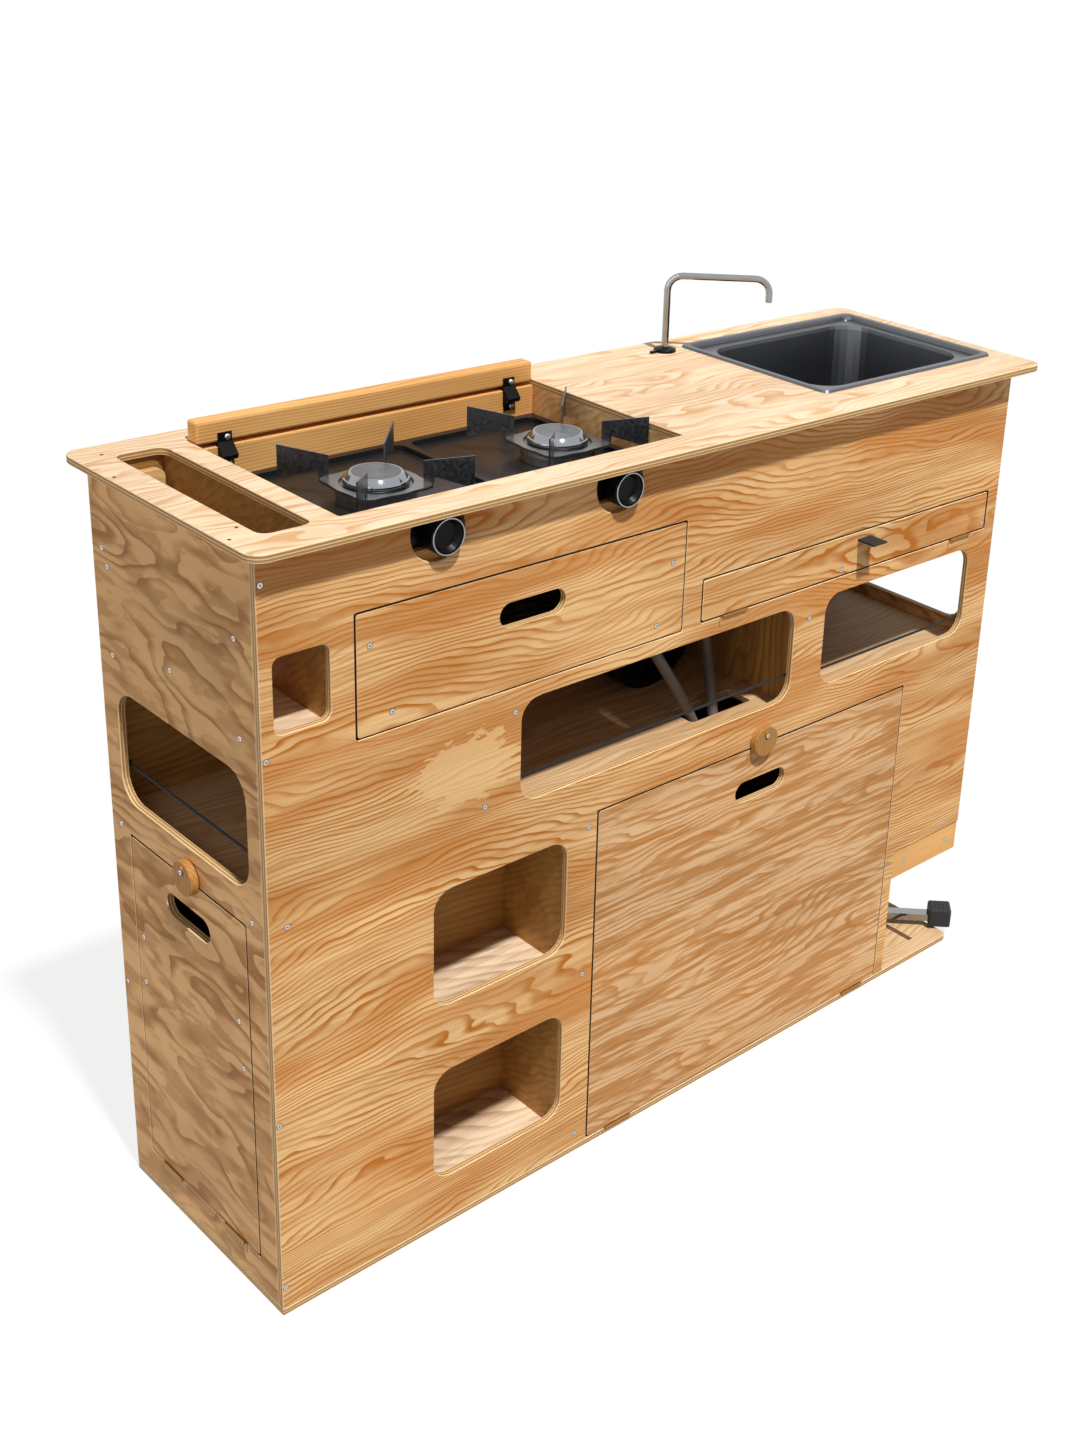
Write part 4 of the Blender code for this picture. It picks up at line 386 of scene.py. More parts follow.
        # Painted shade: ply edges near each leaf's outline darken towards the glue colour, as gaps lie in
        # shade.
        for leaf in leaves:
            low, high = corners(leaf)
            off = add(tree, "VectorMath", (place, (low + high) / 2), "SUBTRACT")
            off = add(tree, "VectorMath", (off,), "ABSOLUTE")
            off = add(tree, "VectorMath", (off, (high - low) / 2), "SUBTRACT")
            off = add(tree, "SeparateXYZ", (off,)).outputs
            away = add(tree, "Math", [off[i] for i in range(3) if i != thick], "MAXIMUM")
            away = add(tree, "Math", (away,), "ABSOLUTE")
            painted_gap_shade = add(tree, "MapRange", (away, 0.006, 0.004), **SMOOTH)
            painted_gap_shade = add(tree, "Math", (painted_gap_shade, 0.9), "MULTIPLY")
            edge = add(tree, "Mix", {0: painted_gap_shade, 6: edge, 7: glue}, **TINTS)
        corner, level_face = (
            add(tree, "MapRange", (flat, low, high), **SMOOTH) for low, high in ((0.8, 0.97), (0.35, 0.55))
        )
        # Partly pale sanded wood, partly painted highlight: the corners between face and edge are paler.
        sanded = add(tree, "Mix", {0: 0.55, 6: face, 7: sanded_arris_and_highlight}, **TINTS)
        face = add(tree, "Mix", {0: corner, 6: sanded, 7: face}, **TINTS)
        face = add(tree, "Mix", {0: level_face, 6: edge, 7: face}, **TINTS)
    relief = add(tree, "Math", (fibre, 0.5, share), "MULTIPLY_ADD")
    bump = add(tree, "Bump", {"Height": relief, "Strength": 0.25, "Distance": 0.0003})
    rough = add(tree, "Math", (fibre, 0.16, 0.48), "MULTIPLY_ADD")
    feed(surface, {"Base Color": face, "Roughness": rough, "Normal": bump})
    feed(surface, {"IOR": 1.5, "Specular IOR Level": 0.28})
    return material


def hard(name, base, roughness, metallic=0.0, grain=None, relief=0.0, spread=0.0, **inputs):
    """A metal, plastic or rubber: one colour, with its fine texture in the roughness and the bump.
    grain is the texture's reach along each axis in metres, relief its height, spread its roughness.
    """
    material, tree, surface = start_material(name)
    feed(surface, {"Base Color": (*base, 1), "Roughness": roughness, "Metallic": metallic, **inputs})
    if grain:
        place = add(tree, "TexCoord").outputs["Object"]
        texture = pattern(tree, place, grain, 3.0, 0.55)
        if spread:
            ends = (texture, 0.3, 0.7, roughness - spread / 2, roughness + spread / 2)
            feed(surface, {"Roughness": add(tree, "MapRange", ends)})
        if relief:
            bump = add(tree, "Bump", {"Height": texture, "Strength": 0.6, "Distance": relief})
            feed(surface, {"Normal": bump})
    return material


def shared_materials(context):
    """Metals, plastics and rubbers of the whole pod by short name, made once. Each row gives the
    material's name, colour, roughness, metallic, texture, relief, spread and any other sockets."""
    c = context.scene.pod_colours
    rows = {
        # Scuffed by pans: a dark gloss that dulls in patches.
        "enamel": (
            "vitreous enamel, fired", c.enamel, 0.36, 0.0, (0.03, 0.03, 0.03), 0.0, 0.12,
            {"Specular IOR Level": 0.35},
        ),
        # A sharp mirror.
        "chrome": ("nickel-chrome plate, polished", c.chrome, 0.09, 1.0, (0.02, 0.02, 0.02), 0.0, 0.06, {}),
        # A soft highlight that fans out from the middle.
        # On the caps' tops the dark steel colour is a painted darker reflection, darker than the chrome round
        # them.
        "spun": (
            "nickel-chrome plate, turned", c.steel, 0.27, 1.0, (0.02, 0.02, 0.02), 0.0, 0.1,
            {"Anisotropic": 0.7},
        ),
        # A fine pebbled grey, left unpolished.
        "cast": ("zinc alloy, cast", c.cast, 0.42, 1.0, (0.0016, 0.0016, 0.0016), 0.0001, 0.14, {}),
        # Long soft streaks.
        "stainless": (
            "stainless sheet, brushed", c.stainless, 0.32, 1.0, (0.05, 0.05, 0.0015), 0.0, 0.05, {},
        ),
        # Pale and slightly dull.
        "zinc": ("zinc plate on steel", c.zinc, 0.32, 1.0, (0.001, 0.001, 0.001), 0.0, 0.1, {}),
        # Black, with a low sheen from the mould's fine texture.
        "plastic": (
            "nylon, moulded", c.plastic, 0.36, 0.0, (0.0008, 0.0008, 0.0008), 0.00003, 0.0,
            {"Specular IOR Level": 0.12},
        ),
        # Matt, faintly uneven.
        "rubber": (
            "rubber, vulcanised", c.rubber, 0.68, 0.0, (0.002, 0.002, 0.002), 0.0001, 0.0, {"IOR": 1.52},
        ),
        # Matt grey, with faint bands along it.
        "hose": (
            "rubber hose, extruded", c.hose, 0.55, 0.0, (0.002, 0.002, 0.004), 0.00015, 0.0, {"IOR": 1.52},
        ),
        # Clear, with a soft gloss.
        "vinyl": (
            "vinyl tube, extruded", c.vinyl, 0.08, 0.0, None, 0.0, 0.0,
            {"IOR": 1.53, "Transmission Weight": 0.95},
        ),
        # Dulled by handling: a warm sheen close to the wood's.
        "brass": ("brass plate on rolled steel", c.brass, 0.42, 1.0, (0.001, 0.001, 0.001), 0.0, 0.12, {}),
        # Painted shade in the gap round a plate or screw, in screw recesses and in the strainer's holes: dark
        # and dead matt.
        "gap": ("painted shade in gaps", c.glue, 0.9, 0.0, None, 0.0, 0.0, {}),
    }
    made = {}
    for key, (name, *values, inputs) in rows.items():
        made[key] = bpy.data.materials.get(name)
        if made[key] is None:
            made[key] = hard(name, *values, **inputs)
            if key == "spun":
                tree = made[key].node_tree
                tangent = add(tree, "Tangent", direction_type="RADIAL", axis="Z")
                feed(tree.nodes["Principled BSDF"], {"Tangent": tangent})
    return made


def woven(name, base, thread, cross, along):
    """Polyester webbing or cord cover: threads over and under each other, matt with soft relief.
    thread is the width of one thread. cross and along are the axes it is woven on.
    """
    material, tree, surface = start_material(name)
    place = add(tree, "TexCoord").outputs["Object"]
    turn = 2 * pi / (2 * thread)
    waves = []
    for axis in (cross, along):
        depth = add(tree, "VectorMath", (place, axis), "DOT_PRODUCT")
        angle = add(tree, "Math", (depth, turn), "MULTIPLY")
        waves.append(add(tree, "Math", (angle,), "SINE"))
    weave = add(tree, "Math", waves, "MULTIPLY")
    bump = add(tree, "Bump", {"Height": weave, "Strength": 0.7, "Distance": thread / 3})
    # Painted shade and light: the threads' tone follows the weave's height, darker in dips, lighter on
    # crowns.
    tone = add(tree, "MapRange", (weave, -1.0, 1.0, 0.75, 1.15))
    shade = add(tree, "HueSaturation", {"Color": (*base, 1), "Value": tone})
    feed(surface, {"Base Color": shade, "Normal": bump, "Roughness": 0.8, "Sheen Weight": 0.05})
    return material


def put(name, data):
    """Puts an object made of this data in the scene."""
    made = bpy.data.objects.new(name, data)
    bpy.context.scene.collection.objects.link(made)
    return made


def piece(name, bm, materials, body, smooth=False):
    """Turns a bmesh in the row frame into a piece that rides on a body."""
    bmesh.ops.recalc_face_normals(bm, faces=bm.faces)
    for edge in bm.edges:
        edge.smooth = len(edge.link_faces) == 2 and edge.calc_face_angle() < SHARP_ANGLE
    mesh = bpy.data.meshes.new(name)
    bm.to_mesh(mesh)
    bm.free()
    made = put(name, mesh)
    for material in materials:
        mesh.materials.append(material)
    for polygon in mesh.polygons:
        polygon.use_smooth = smooth
    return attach(made, body) or made


def around(count):
    """Angles of places set evenly round a circle."""
    return [2 * pi * i / count for i in range(count)]


def skin(bm, rows, materials=None, hollow=False):
    """Spans a surface over rows of places, each a closed loop. Its ends are closed by flat faces, or
    joined to each other where it is hollow in the middle. materials has the slot of each band."""
    rows = [[bm.verts.new(place) for place in row] for row in rows]
    bands = list(zip(rows, rows[1:] + rows[:1] if hollow else rows[1:]))
    slots = materials or (0,) * len(bands)
    for slot, (low, high) in zip(slots, bands):
        for i, vert in enumerate(low):
            j = (i + 1) % len(low)
            bm.faces.new((vert, low[j], high[j], high[i])).material_index = slot
    if not hollow:
        for row, slot in ((rows[0], slots[0]), (rows[-1], slots[-1])):
            bm.faces.new(row).material_index = slot


def rings_mesh(bm, matrix, profile, steps, materials=None, hollow=False):
    """Turns a profile of (radius, height) points round the matrix's Z axis."""
    rows = (
        [matrix @ Vector((radius * cos(a), radius * sin(a), height)) for a in around(steps)]
        for radius, height in profile
    )
    skin(bm, rows, materials, hollow)


def facing(place, axis):
    """A frame at a place whose Z axis points out of a face. axis is the way out."""
    return Matrix.Translation(place) @ Vector(axis).to_track_quat("Z", "Y").to_matrix().to_4x4()


def screw_heads(name, places, axis, body, radius, rise, materials):
    """Countersunk screws: a countersink ring of painted shade, a zinc head, and its cross recess drawn in
    painted shade.
    """
    bm = bmesh.new()
    # Each screw stopped at a turn of its own.
    first_turn, next_turn = 0.3, 0.9
    for count, place in enumerate(places):
        matrix = facing(place, axis) @ Matrix.Rotation(next_turn * count + first_turn, 4, "Z")
        ring = (
            (radius * 1.16, -rise), (radius * 1.16, rise * 0.25), (radius * 0.99, rise * 0.2),
            (radius * 0.97, rise * 0.6), (radius * 0.80, rise),
        )
        rings_mesh(bm, matrix, ring, 24, (0, 0, 1, 1))
        recess = []
        for i, angle in enumerate(around(8)):
            reach = radius * (0.20 if i % 2 else 0.62)
            recess.append((reach * cos(angle), reach * sin(angle)))
        low = [matrix @ Vector((x, y, rise * 0.9)) for x, y in recess]
        high = [matrix @ Vector((x * 0.96, y * 0.96, rise * 1.06)) for x, y in recess]
        skin(bm, (low, high))
    return piece(name, bm, (materials["gap"], materials["zinc"]), body)


def box_mesh(bm, low, high, bevel=0.0, matrix=None, material=0):
    """A block between two corners, its edges rounded by bevel."""
    made = bmesh.ops.create_cube(bm, size=1.0)["verts"]
    for vert in made:
        vert.co = Vector(near + (far - near) * (c + 0.5) for near, far, c in zip(low, high, vert.co))
    edges = {edge for vert in made for edge in vert.link_edges}
    faces = {face for vert in made for face in vert.link_faces}
    if bevel:
        faces = bmesh.ops.bevel(
            bm, geom=list(edges) + made, offset=bevel, segments=3, affect="EDGES", profile=0.5
        )["faces"]
        faces = {face for item in faces for vert in item.verts for face in vert.link_faces}
    verts = {vert for face in faces for vert in face.verts}
    for face in faces:
        face.material_index = material
    if matrix:
        bmesh.ops.transform(bm, matrix=matrix, verts=list(verts))


def tube(name, splines, radius, material, body, replaced=None):
    """Round tubes through points, each spline smooth as a bent hose is. splines may be closed."""
    data = bpy.data.curves.new(name, "CURVE")
    data.dimensions = "3D"
    data.bevel_depth = radius
    data.bevel_resolution = 5
    data.resolution_u = 10
    data.use_fill_caps = True
    for points, closed in splines:
        count = len(points)
        spline = data.splines.new("BEZIER")
        spline.bezier_points.add(count - 1)
        spline.use_cyclic_u = closed
        for i, point in enumerate(points):
            before = points[(i - 1) % count] if closed or i else point
            after = points[(i + 1) % count] if closed or i < count - 1 else point
            slope = (Vector(after) - Vector(before)) * (0.5 if closed or 0 < i < count - 1 else 1.0)
            knot = spline.bezier_points[i]
            knot.co = point
            knot.handle_left = Vector(point) - slope / 3
            knot.handle_right = Vector(point) + slope / 3
    made = put(name, data)
    data.materials.append(material)
    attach(made, body)
    if replaced:
        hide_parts(replaced)
    return made


def at(x, y, z):
    """A place measured from the pod's front left foot, in the row frame."""
    return ORIGIN + Vector((x, y, z))


def on_face(spot, axis, level):
    """A place on a face square to an axis, from where it is along the other two axes."""
    place = list(spot)
    place.insert(axis, 0.0)
    place = at(*place)
    place[axis] = level
    return place


def direct_or_mirrored(tree):
    """1 for what the camera sees straight on, in metal or through clear vinyl, and 0 for other light."""
    path = add(tree, "LightPath").outputs
    seen = add(tree, "Math", (path["Is Camera Ray"], path["Is Glossy Ray"]), "MAXIMUM")
    return add(tree, "Math", (seen, path["Is Transmission Ray"]), "MAXIMUM")


class POD_OT_plywood(bpy.types.Operator):
    """Fir plywood on the boards"""

    bl_idname = "pod.plywood"
    bl_label = "Plywood"

    def execute(self, context):
        s, c = context.scene.pod_sizes, context.scene.pod_colours
        front_tones, inner_tones = (c.front_early, c.front_late), (c.inner_early, c.inner_late)
        base_tones = (c.base_early, c.base_late)
        patch = (at(0.2435, 0.0, 0.592), (0.060, 1.0, 0.040))
        # Rotary-cut fir veneer, sanded and oiled. Each row gives a sheet's name, the nodes cut from it,
        # its tones, the axis of its grain, the way its rings are stacked, their width, its figure, the
        # axis through the board, and what else it shows.
        sheets = (
            # Bold orange lines, which run on across the gaps: one sheet carries panel, drawer and flap.
            ("front sheet", ("front_panel", "drawer_front", "flap"), front_tones, 0, (0, 0.2, 1),
             s.front_pitch, FRONT_FIGURE, 1,
             {"patch": patch, "leaves": ("drawer_front", "flap", "large_door")}),
            # Paler, with short ragged flames.
            ("large door", ("large_door",), (c.door_early, c.door_late), 0, (0, 0.2, 1), s.door_pitch,
             DOOR_FIGURE, 1, {"leaves": ("large_door",)}),
            # A wilder, broader figure.
            ("ends", ("left_end_panel", "end_door", "right_end_panel"), (c.end_early, c.end_late), 1,
             (0, 0.2, 1), s.end_pitch, END_FIGURE, 0, {"leaves": ("end_door",)}),
            # Scrubbed pale, with a faint figure.
            ("worktop", ("worktop",), (c.top_early, c.top_late), 0, (0, 1, 0), s.top_pitch, TOP_FIGURE, 2,
             {}),
            # The same figure, gone darker low down. On the middle shelf inside, the darker tones are painted
            # shade.
            ("base", ("base_plate",), base_tones, 0, (0, 1, 0), s.top_pitch, TOP_FIGURE, 2, {}),
            ("middle shelf", ("mid_shelf",), base_tones, 0, (0, 1, 0.1), s.door_pitch, INNER_FIGURE, 2, {}),
            # Unfinished boards inside: brown, dull and quiet, their tones darkened as painted shade.
            ("shelf", ("drawer_shelf",), inner_tones, 0, (0, 1, 0.1), s.door_pitch, INNER_FIGURE, 2, {}),
            ("uprights", ("partition_left", "partition_right"), inner_tones, 2, (0.1, 1, 0), s.door_pitch,
             INNER_FIGURE, 0, {}),
            ("back", ("back_panel",), inner_tones, 0, (0, 0.1, 1), s.door_pitch, INNER_FIGURE, 1, {}),
            # Linings with brown walls darkened as painted shade, and a floor paled as painted light.
            ("box linings", ("cubby_block", "flap_tray", "foot_box", "drawer_box", "pocket_lining"),
             inner_tones, 0, (0.25, 0.6, 1), s.door_pitch, BOX_FIGURE, None, {"floor": c.top_early}),
            ("linings in the worktop", ("recess_side_left", "recess_side_right", "pocket_tab"),
             front_tones, 0, (0.25, 0.6, 1), s.door_pitch, BOX_FIGURE, None, {}),
        )
        for name, nodes, tones, grain, across, pitch, figure, thick, shows in sheets:
            # The first layer begins at the board's face, so that the glue lines fall inside its edge.
            start = 0.0 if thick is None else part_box(nodes[0])[0][thick]
            veneer = wood(
                "fir plywood, " + name, tones, c, grain, across, pitch, figure, thick, start, **shows
            )
            paint(nodes, veneer)
        return {"FINISHED"}


class POD_OT_solid_wood(bpy.types.Operator):
    """Solid pine rails and turn buttons"""

    bl_idname = "pod.solid_wood"
    bl_label = "Solid wood"

    def execute(self, context):
        s, c = context.scene.pod_sizes, context.scene.pod_colours
        # Pine planed along the grain and oiled: straight fine rings and a warm orange tone.
        pine = wood(
            "solid pine, oiled", (c.pine_early, c.pine_late), c, 0, (0, 0.5, 1), s.pine_pitch, PINE_FIGURE
        )
        paint(("hinged_rail", "recess_rear_wall", "recess_front_rail", "foot_rail"), pine)
        # Fir cut across a plank and sanded: brown, with close faint rings.
        disc = wood(
            "fir disc, sanded", (c.disc_early, c.disc_late), c, 2, (0.7, 0.7, 0.1), s.pine_pitch, DISC_FIGURE
        )
        paint(("door_button", "end_button"), disc)
        return {"FINISHED"}


class POD_OT_hob(bpy.types.Operator):
    """Enamel, burners and pan supports of the hob"""

    bl_idname = "pod.hob"
    bl_label = "Hob"

    def execute(self, context):
        c, m = context.scene.pod_colours, shared_materials(context)
        paint(("hob_body",), m["enamel"])
        paint(("burner_ring_left", "burner_ring_right"), m["cast"])
        # Pressed steel: the flat star is a lighter grey and the blades darker, changing with height.
        support = hard(
            "pressed steel, grey star and darker blades", c.steel, 0.34, 1.0, (0.004, 0.004, 0.004), 0.00005, 0.16
        )
        tree = support.node_tree
        place = add(tree, "TexCoord").outputs["Object"]
        height = add(tree, "SeparateXYZ", (place,)).outputs[2]
        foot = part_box("pan_support_left")[0][2]
        share = add(tree, "MapRange", (height, foot + 0.0035, foot + 0.012), **SMOOTH)
        shade = add(tree, "Mix", {0: share, 6: (*c.cast, 1), 7: (*c.steel, 1)}, **TINTS)
        feed(tree.nodes["Principled BSDF"], {"Base Color": shade})
        paint(("pan_support_left", "pan_support_right"), support)
        for node, width in (
            ("pan_support_left", 0.0004), ("pan_support_right", 0.0004), ("hob_body", 0.0008),
        ):
            bevel = NODES[node].modifiers.new("rounded edges", "BEVEL")
            bevel.width, bevel.segments, bevel.angle_limit = width, 2, SHARP_ANGLE
        for side in ("left", "right"):
            node = "burner_cap_" + side
            low, high = corners(node)
            middle = (low + high) / 2
            r = (high.x - low.x) / 2
            top, total = r * 0.803, high.z - low.z
            profile = (
                (r * 0.676, 0.0), (r * 0.676, total * 0.1875), (r - 0.0025, total * 0.1875),
                (r - 0.0004, total * 0.25), (r, total * 0.32), (r, total * 0.52),
                (r - 0.0006, total * 0.58), (r - 0.0022, total * 0.62), (top + 0.0014, total * 0.92),
                (top + 0.0002, total * 0.985), (top - 0.0012, total), (top - 0.0022, total * 0.985),
                (top - 0.0034, total * 0.975), (top * 0.5, total * 0.97), (top * 0.12, total * 0.965),
            )
            bm = bmesh.new()
            finishes = (0,) * 11 + (1, 1, 1)
            rings_mesh(bm, Matrix.Translation((middle.x, middle.y, low.z)), profile, 96, finishes)
            cap = piece(node + "_spun", bm, (m["chrome"], m["spun"]), "pod_body", True)
            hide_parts(node)
        return {"FINISHED"}


class POD_OT_sink_and_tap(bpy.types.Operator):
    """Sink, waste, tap, foot pump and vent drum"""

    bl_idname = "pod.sink_and_tap"
    bl_label = "Sink and tap"

    def execute(self, context):
        m = shared_materials(context)
        paint(("sink_bowl",), m["stainless"])
        paint(("tap_spout", "pump_lever"), m["chrome"])
        paint(("tap_base", "sink_waste", "vent_drum", "pump_body"), m["plastic"])
        paint(("pump_pad",), m["rubber"])
        bm = bmesh.new()
        low, high = corners("sink_waste")
        middle = (low + high) / 2
        floor_level = 0.7805
        matrix = Matrix.Translation((middle.x, middle.y, floor_level))
        flange = ((0.0215, 0.0), (0.0215, 0.0008), (0.0205, 0.0016), (0.0165, 0.0012), (0.0150, 0.0006))
        rings_mesh(bm, matrix, flange, 40)
        # The holes are dark discs of painted shade, not openings.
        for ring_radius, holes in ((0.0, 1), (0.0052, 6), (0.0102, 12)):
            for angle in around(holes):
                spot = Matrix.Translation(
                    (middle.x + ring_radius * cos(angle), middle.y + ring_radius * sin(angle),
                     floor_level + 0.0006)
                )
                rings_mesh(bm, spot, ((0.0015, -0.0002), (0.0015, 0.0001)), 12, (1, 1))
        piece("sink_strainer", bm, (m["stainless"], m["gap"]), "pod_body")
        return {"FINISHED"}


class POD_OT_screws(bpy.types.Operator):
    """Countersunk screws on the boards"""

    bl_idname = "pod.screws"
    bl_label = "Screws"

    def execute(self, context):
        s, m = context.scene.pod_sizes, shared_materials(context)
        for name, (body, node, axis, spots) in SCREWS.items():
            upward = axis == 2
            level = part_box(node)[1 if upward else 0][axis]
            places = [on_face(spot, axis, level) for spot in spots]
            way = [0, 0, 0]
            way[axis] = 1 if upward else -1
            radius = s.pin_radius if upward else s.screw_radius
            # The pins in the worktop are drawn all in the dark matt of the gaps, the other heads zinc.
            finish = dict(m, zinc=m["gap"]) if upward else m
            screw_heads(name, places, way, body, radius, s.screw_rise, finish)
        return {"FINISHED"}


class POD_OT_knobs(bpy.types.Operator):
    """Gas knobs and their trim rings"""

    bl_idname = "pod.knobs"
    bl_label = "Knobs"

    def execute(self, context):
        m = shared_materials(context)
        for node, body in KNOBS:
            paint((node,), m["plastic"])
            low, high = corners(node)
            radius = (high.x - low.x) / 2
            face = Vector(((low.x + high.x) / 2, low.y, (low.z + high.z) / 2))
            bm = bmesh.new()
            matrix = facing(face, (0, -1, 0))
            middle, half = radius * 0.925, radius * 0.036
            ring = [(middle + half * cos(a), -0.0001 + 0.6 * half * sin(a)) for a in around(10)]
            rings_mesh(bm, matrix, ring, 64, hollow=True)
            piece(node + "_trim", bm, (m["chrome"],), body, True)
        return {"FINISHED"}


class POD_OT_hoses(bpy.types.Operator):
    """Gas, waste and water hoses"""

    bl_idname = "pod.hoses"
    bl_label = "Hoses"

    def execute(self, context):
        s, m = context.scene.pod_sizes, shared_materials(context)
        for name, route, radius, material, slot in (
            ("gas_hose", GAS_ROUTE, s.hose_radius, m["hose"], "hose_rubber"),
            ("waste_hose", WASTE_ROUTE, s.hose_radius, m["hose"], "hose_rubber"),
            ("water_hose", WATER_ROUTE, s.water_radius, m["vinyl"], "clear_vinyl"),
        ):
            splines = (([at(*spot) for spot in route], False),)
            tube(name + "_tube", splines, radius, material, "pod_body", name)
        return {"FINISHED"}


class POD_OT_cords(bpy.types.Operator):
    """Elastic cords across the windows, knotted behind the boards"""

    bl_idname = "pod.cords"
    bl_label = "Elastic cords"

    def execute(self, context):
        s, c = context.scene.pod_sizes, context.scene.pod_colours
        for name, ends in CORD_ENDS.items():
            first, last = (at(*end) for end in ends)
            along = (last - first).normalized()
            # A braided polyester cover over rubber strands: diagonal threads under a millimetre wide.
            cover = woven("braided cord, " + name, c.webbing, 0.0009, along, Vector((0, 1, 1)))
            splines = [([first.lerp(last, i / 4) for i in range(5)], False)]
            turn = along.to_track_quat("Z", "Y").to_matrix()
            for end in (first, last):
                knot = []
                for t in around(18):
                    x, y = sin(t) + 2 * sin(2 * t), cos(t) - 2 * cos(2 * t)
                    knot.append(end + turn @ Vector((x, y, -sin(3 * t))) * s.cord_radius * 0.36)
                splines.append((knot, True))
            tube(name + "_cord", splines, s.cord_radius * 0.85, cover, "pod_body", name)
        return {"FINISHED"}


class POD_OT_straps(bpy.types.Operator):
    """Webbing pull of the flap and the brackets that hold the hinged rail"""

    bl_idname = "pod.straps"
    bl_label = "Strap and brackets"

    def execute(self, context):
        s, c = context.scene.pod_sizes, context.scene.pod_colours
        m = shared_materials(context)
        low, high = corners("flap_strap")
        # Polyester webbing, woven of threads 1 mm wide, folded once into a pull.
        web = woven("black webbing", c.webbing, 0.0010, Vector((1, 0, 0)), Vector((0, 1, 1)))
        bm = bmesh.new()
        middle, bend = (low.z + high.z) / 2, (high.z - low.z) / 2
        # Its outline from the side: round the fold on the outside, and back on the inside.
        outline = []
        for radius, way in ((bend, 1), (bend - s.strap_layer, -1)):
            outline.append((high.y, middle + way * radius))
            for a in [pi * i / 8 for i in range(9)]:
                outline.append((low.y + bend - radius * sin(a), middle + way * radius * cos(a)))
            outline.append((high.y, middle - way * radius))
        steps = 12
        stations = [low.x + (high.x - low.x) * i / steps for i in range(steps + 1)]
        skin(bm, [[(x, y, z) for y, z in outline] for x in stations])
        strap = piece("flap_strap_webbing", bm, (web,), "flap_leaf")
        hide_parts("flap_strap")
        paint(("rail_strap_left", "rail_strap_right"), m["plastic"])
        rail_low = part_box("hinged_rail")[0]
        wall_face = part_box("recess_rear_wall")[0][1]
        for node in ("rail_strap_left", "rail_strap_right"):
            low, high = corners(node)
            x, half, thick, gap = (low.x + high.x) / 2, s.leaf_width / 2, s.leaf_thick, 0.0001
            leaves = (
                ("upper", rail_low[1], rail_low[2] + 2 * gap, "rear_rail"),
                ("lower", wall_face, low.z - s.leaf_drop - gap, "pod_body"),
            )
            for level, face, foot, body in leaves:
                bm = bmesh.new()
                near, far = (x - half, face - gap - thick, foot), (x + half, face - gap, foot + s.leaf_drop)
                box_mesh(bm, near, far, bevel=thick / 3)
                spot = Vector((x + half / 3, face - gap - thick, foot + s.leaf_drop * 0.45))
                head = ((0.0036, -gap), (0.0036, 0.0008), (0.0028, 0.0017), (0.0012, 0.0020))
                rings_mesh(bm, facing(spot, (0, -1, 0)), head, 24, (1, 1, 1))
                piece(node + "_leaf_" + level, bm, (m["plastic"], m["zinc"]), body)
        return {"FINISHED"}


class POD_OT_hinges(bpy.types.Operator):
    """Hinge knuckles and the plates let in below them"""

    bl_idname = "pod.hinges"
    bl_label = "Hinges"

    def execute(self, context):
        s, c = context.scene.pod_sizes, context.scene.pod_colours
        m = shared_materials(context)
        paint(
            ("flap_hinge_left", "flap_hinge_right", "door_hinge_left", "door_hinge_right",
             "end_door_hinge_front", "end_door_hinge_rear"),
            m["brass"],
        )
        # Fir let in flush and sanded with the panel: the panel's tones, with closer lines.
        plate = wood(
            "fir plate, sanded", (c.front_early, c.front_late), c, 0, (0, 0.4, 1), s.pine_pitch,
            DISC_FIGURE, 1,
        )
        half = s.hinge_plate / 2
        for name, (node, axis, drop, spots) in HINGE_PLATES.items():
            bm = bmesh.new()
            level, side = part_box(node)[0][axis], 1 - axis
            for spot in spots:
                # The gap round the plate, drawn in painted shade, then the plate, which stands a little
                # prouder.
                for grown, rise, index in ((0.0006, 0.00008, 1), (0.0, 0.0003, 0)):
                    low, high = (list(on_face(spot, axis, level)) for _ in range(2))
                    low[side] -= half + grown
                    high[side] += half + grown
                    low[2] -= drop + grown
                    high[2] -= 0.0012
                    low[axis], high[axis] = level - rise, level + 0.0004
                    box_mesh(bm, low, high, material=index)
            piece(name, bm, (plate, m["gap"]), "pod_body")
        return {"FINISHED"}


class POD_OT_pedal(bpy.types.Operator):
    """Rubber ribs on the pump's pedal"""

    bl_idname = "pod.pedal"
    bl_label = "Pedal"

    def execute(self, context):
        m = shared_materials(context)
        low, high = corners("pump_pad")
        middle = (low + high) / 2
        spin = Matrix.Rotation(radians(-45), 4, "Z")
        spin = Matrix.Translation((middle.x, middle.y, high.z)) @ spin
        bm = bmesh.new()
        first, spacing, half, reach = -0.0118, 0.0059, 0.0011, 0.0115
        for i in range(5):
            along = first + spacing * i
            box_mesh(bm, (along - half, -reach, -0.0006), (along + half, reach, half), 0.0004, spin)
        piece("pedal_ribs", bm, (m["rubber"],), "pedal")
        return {"FINISHED"}


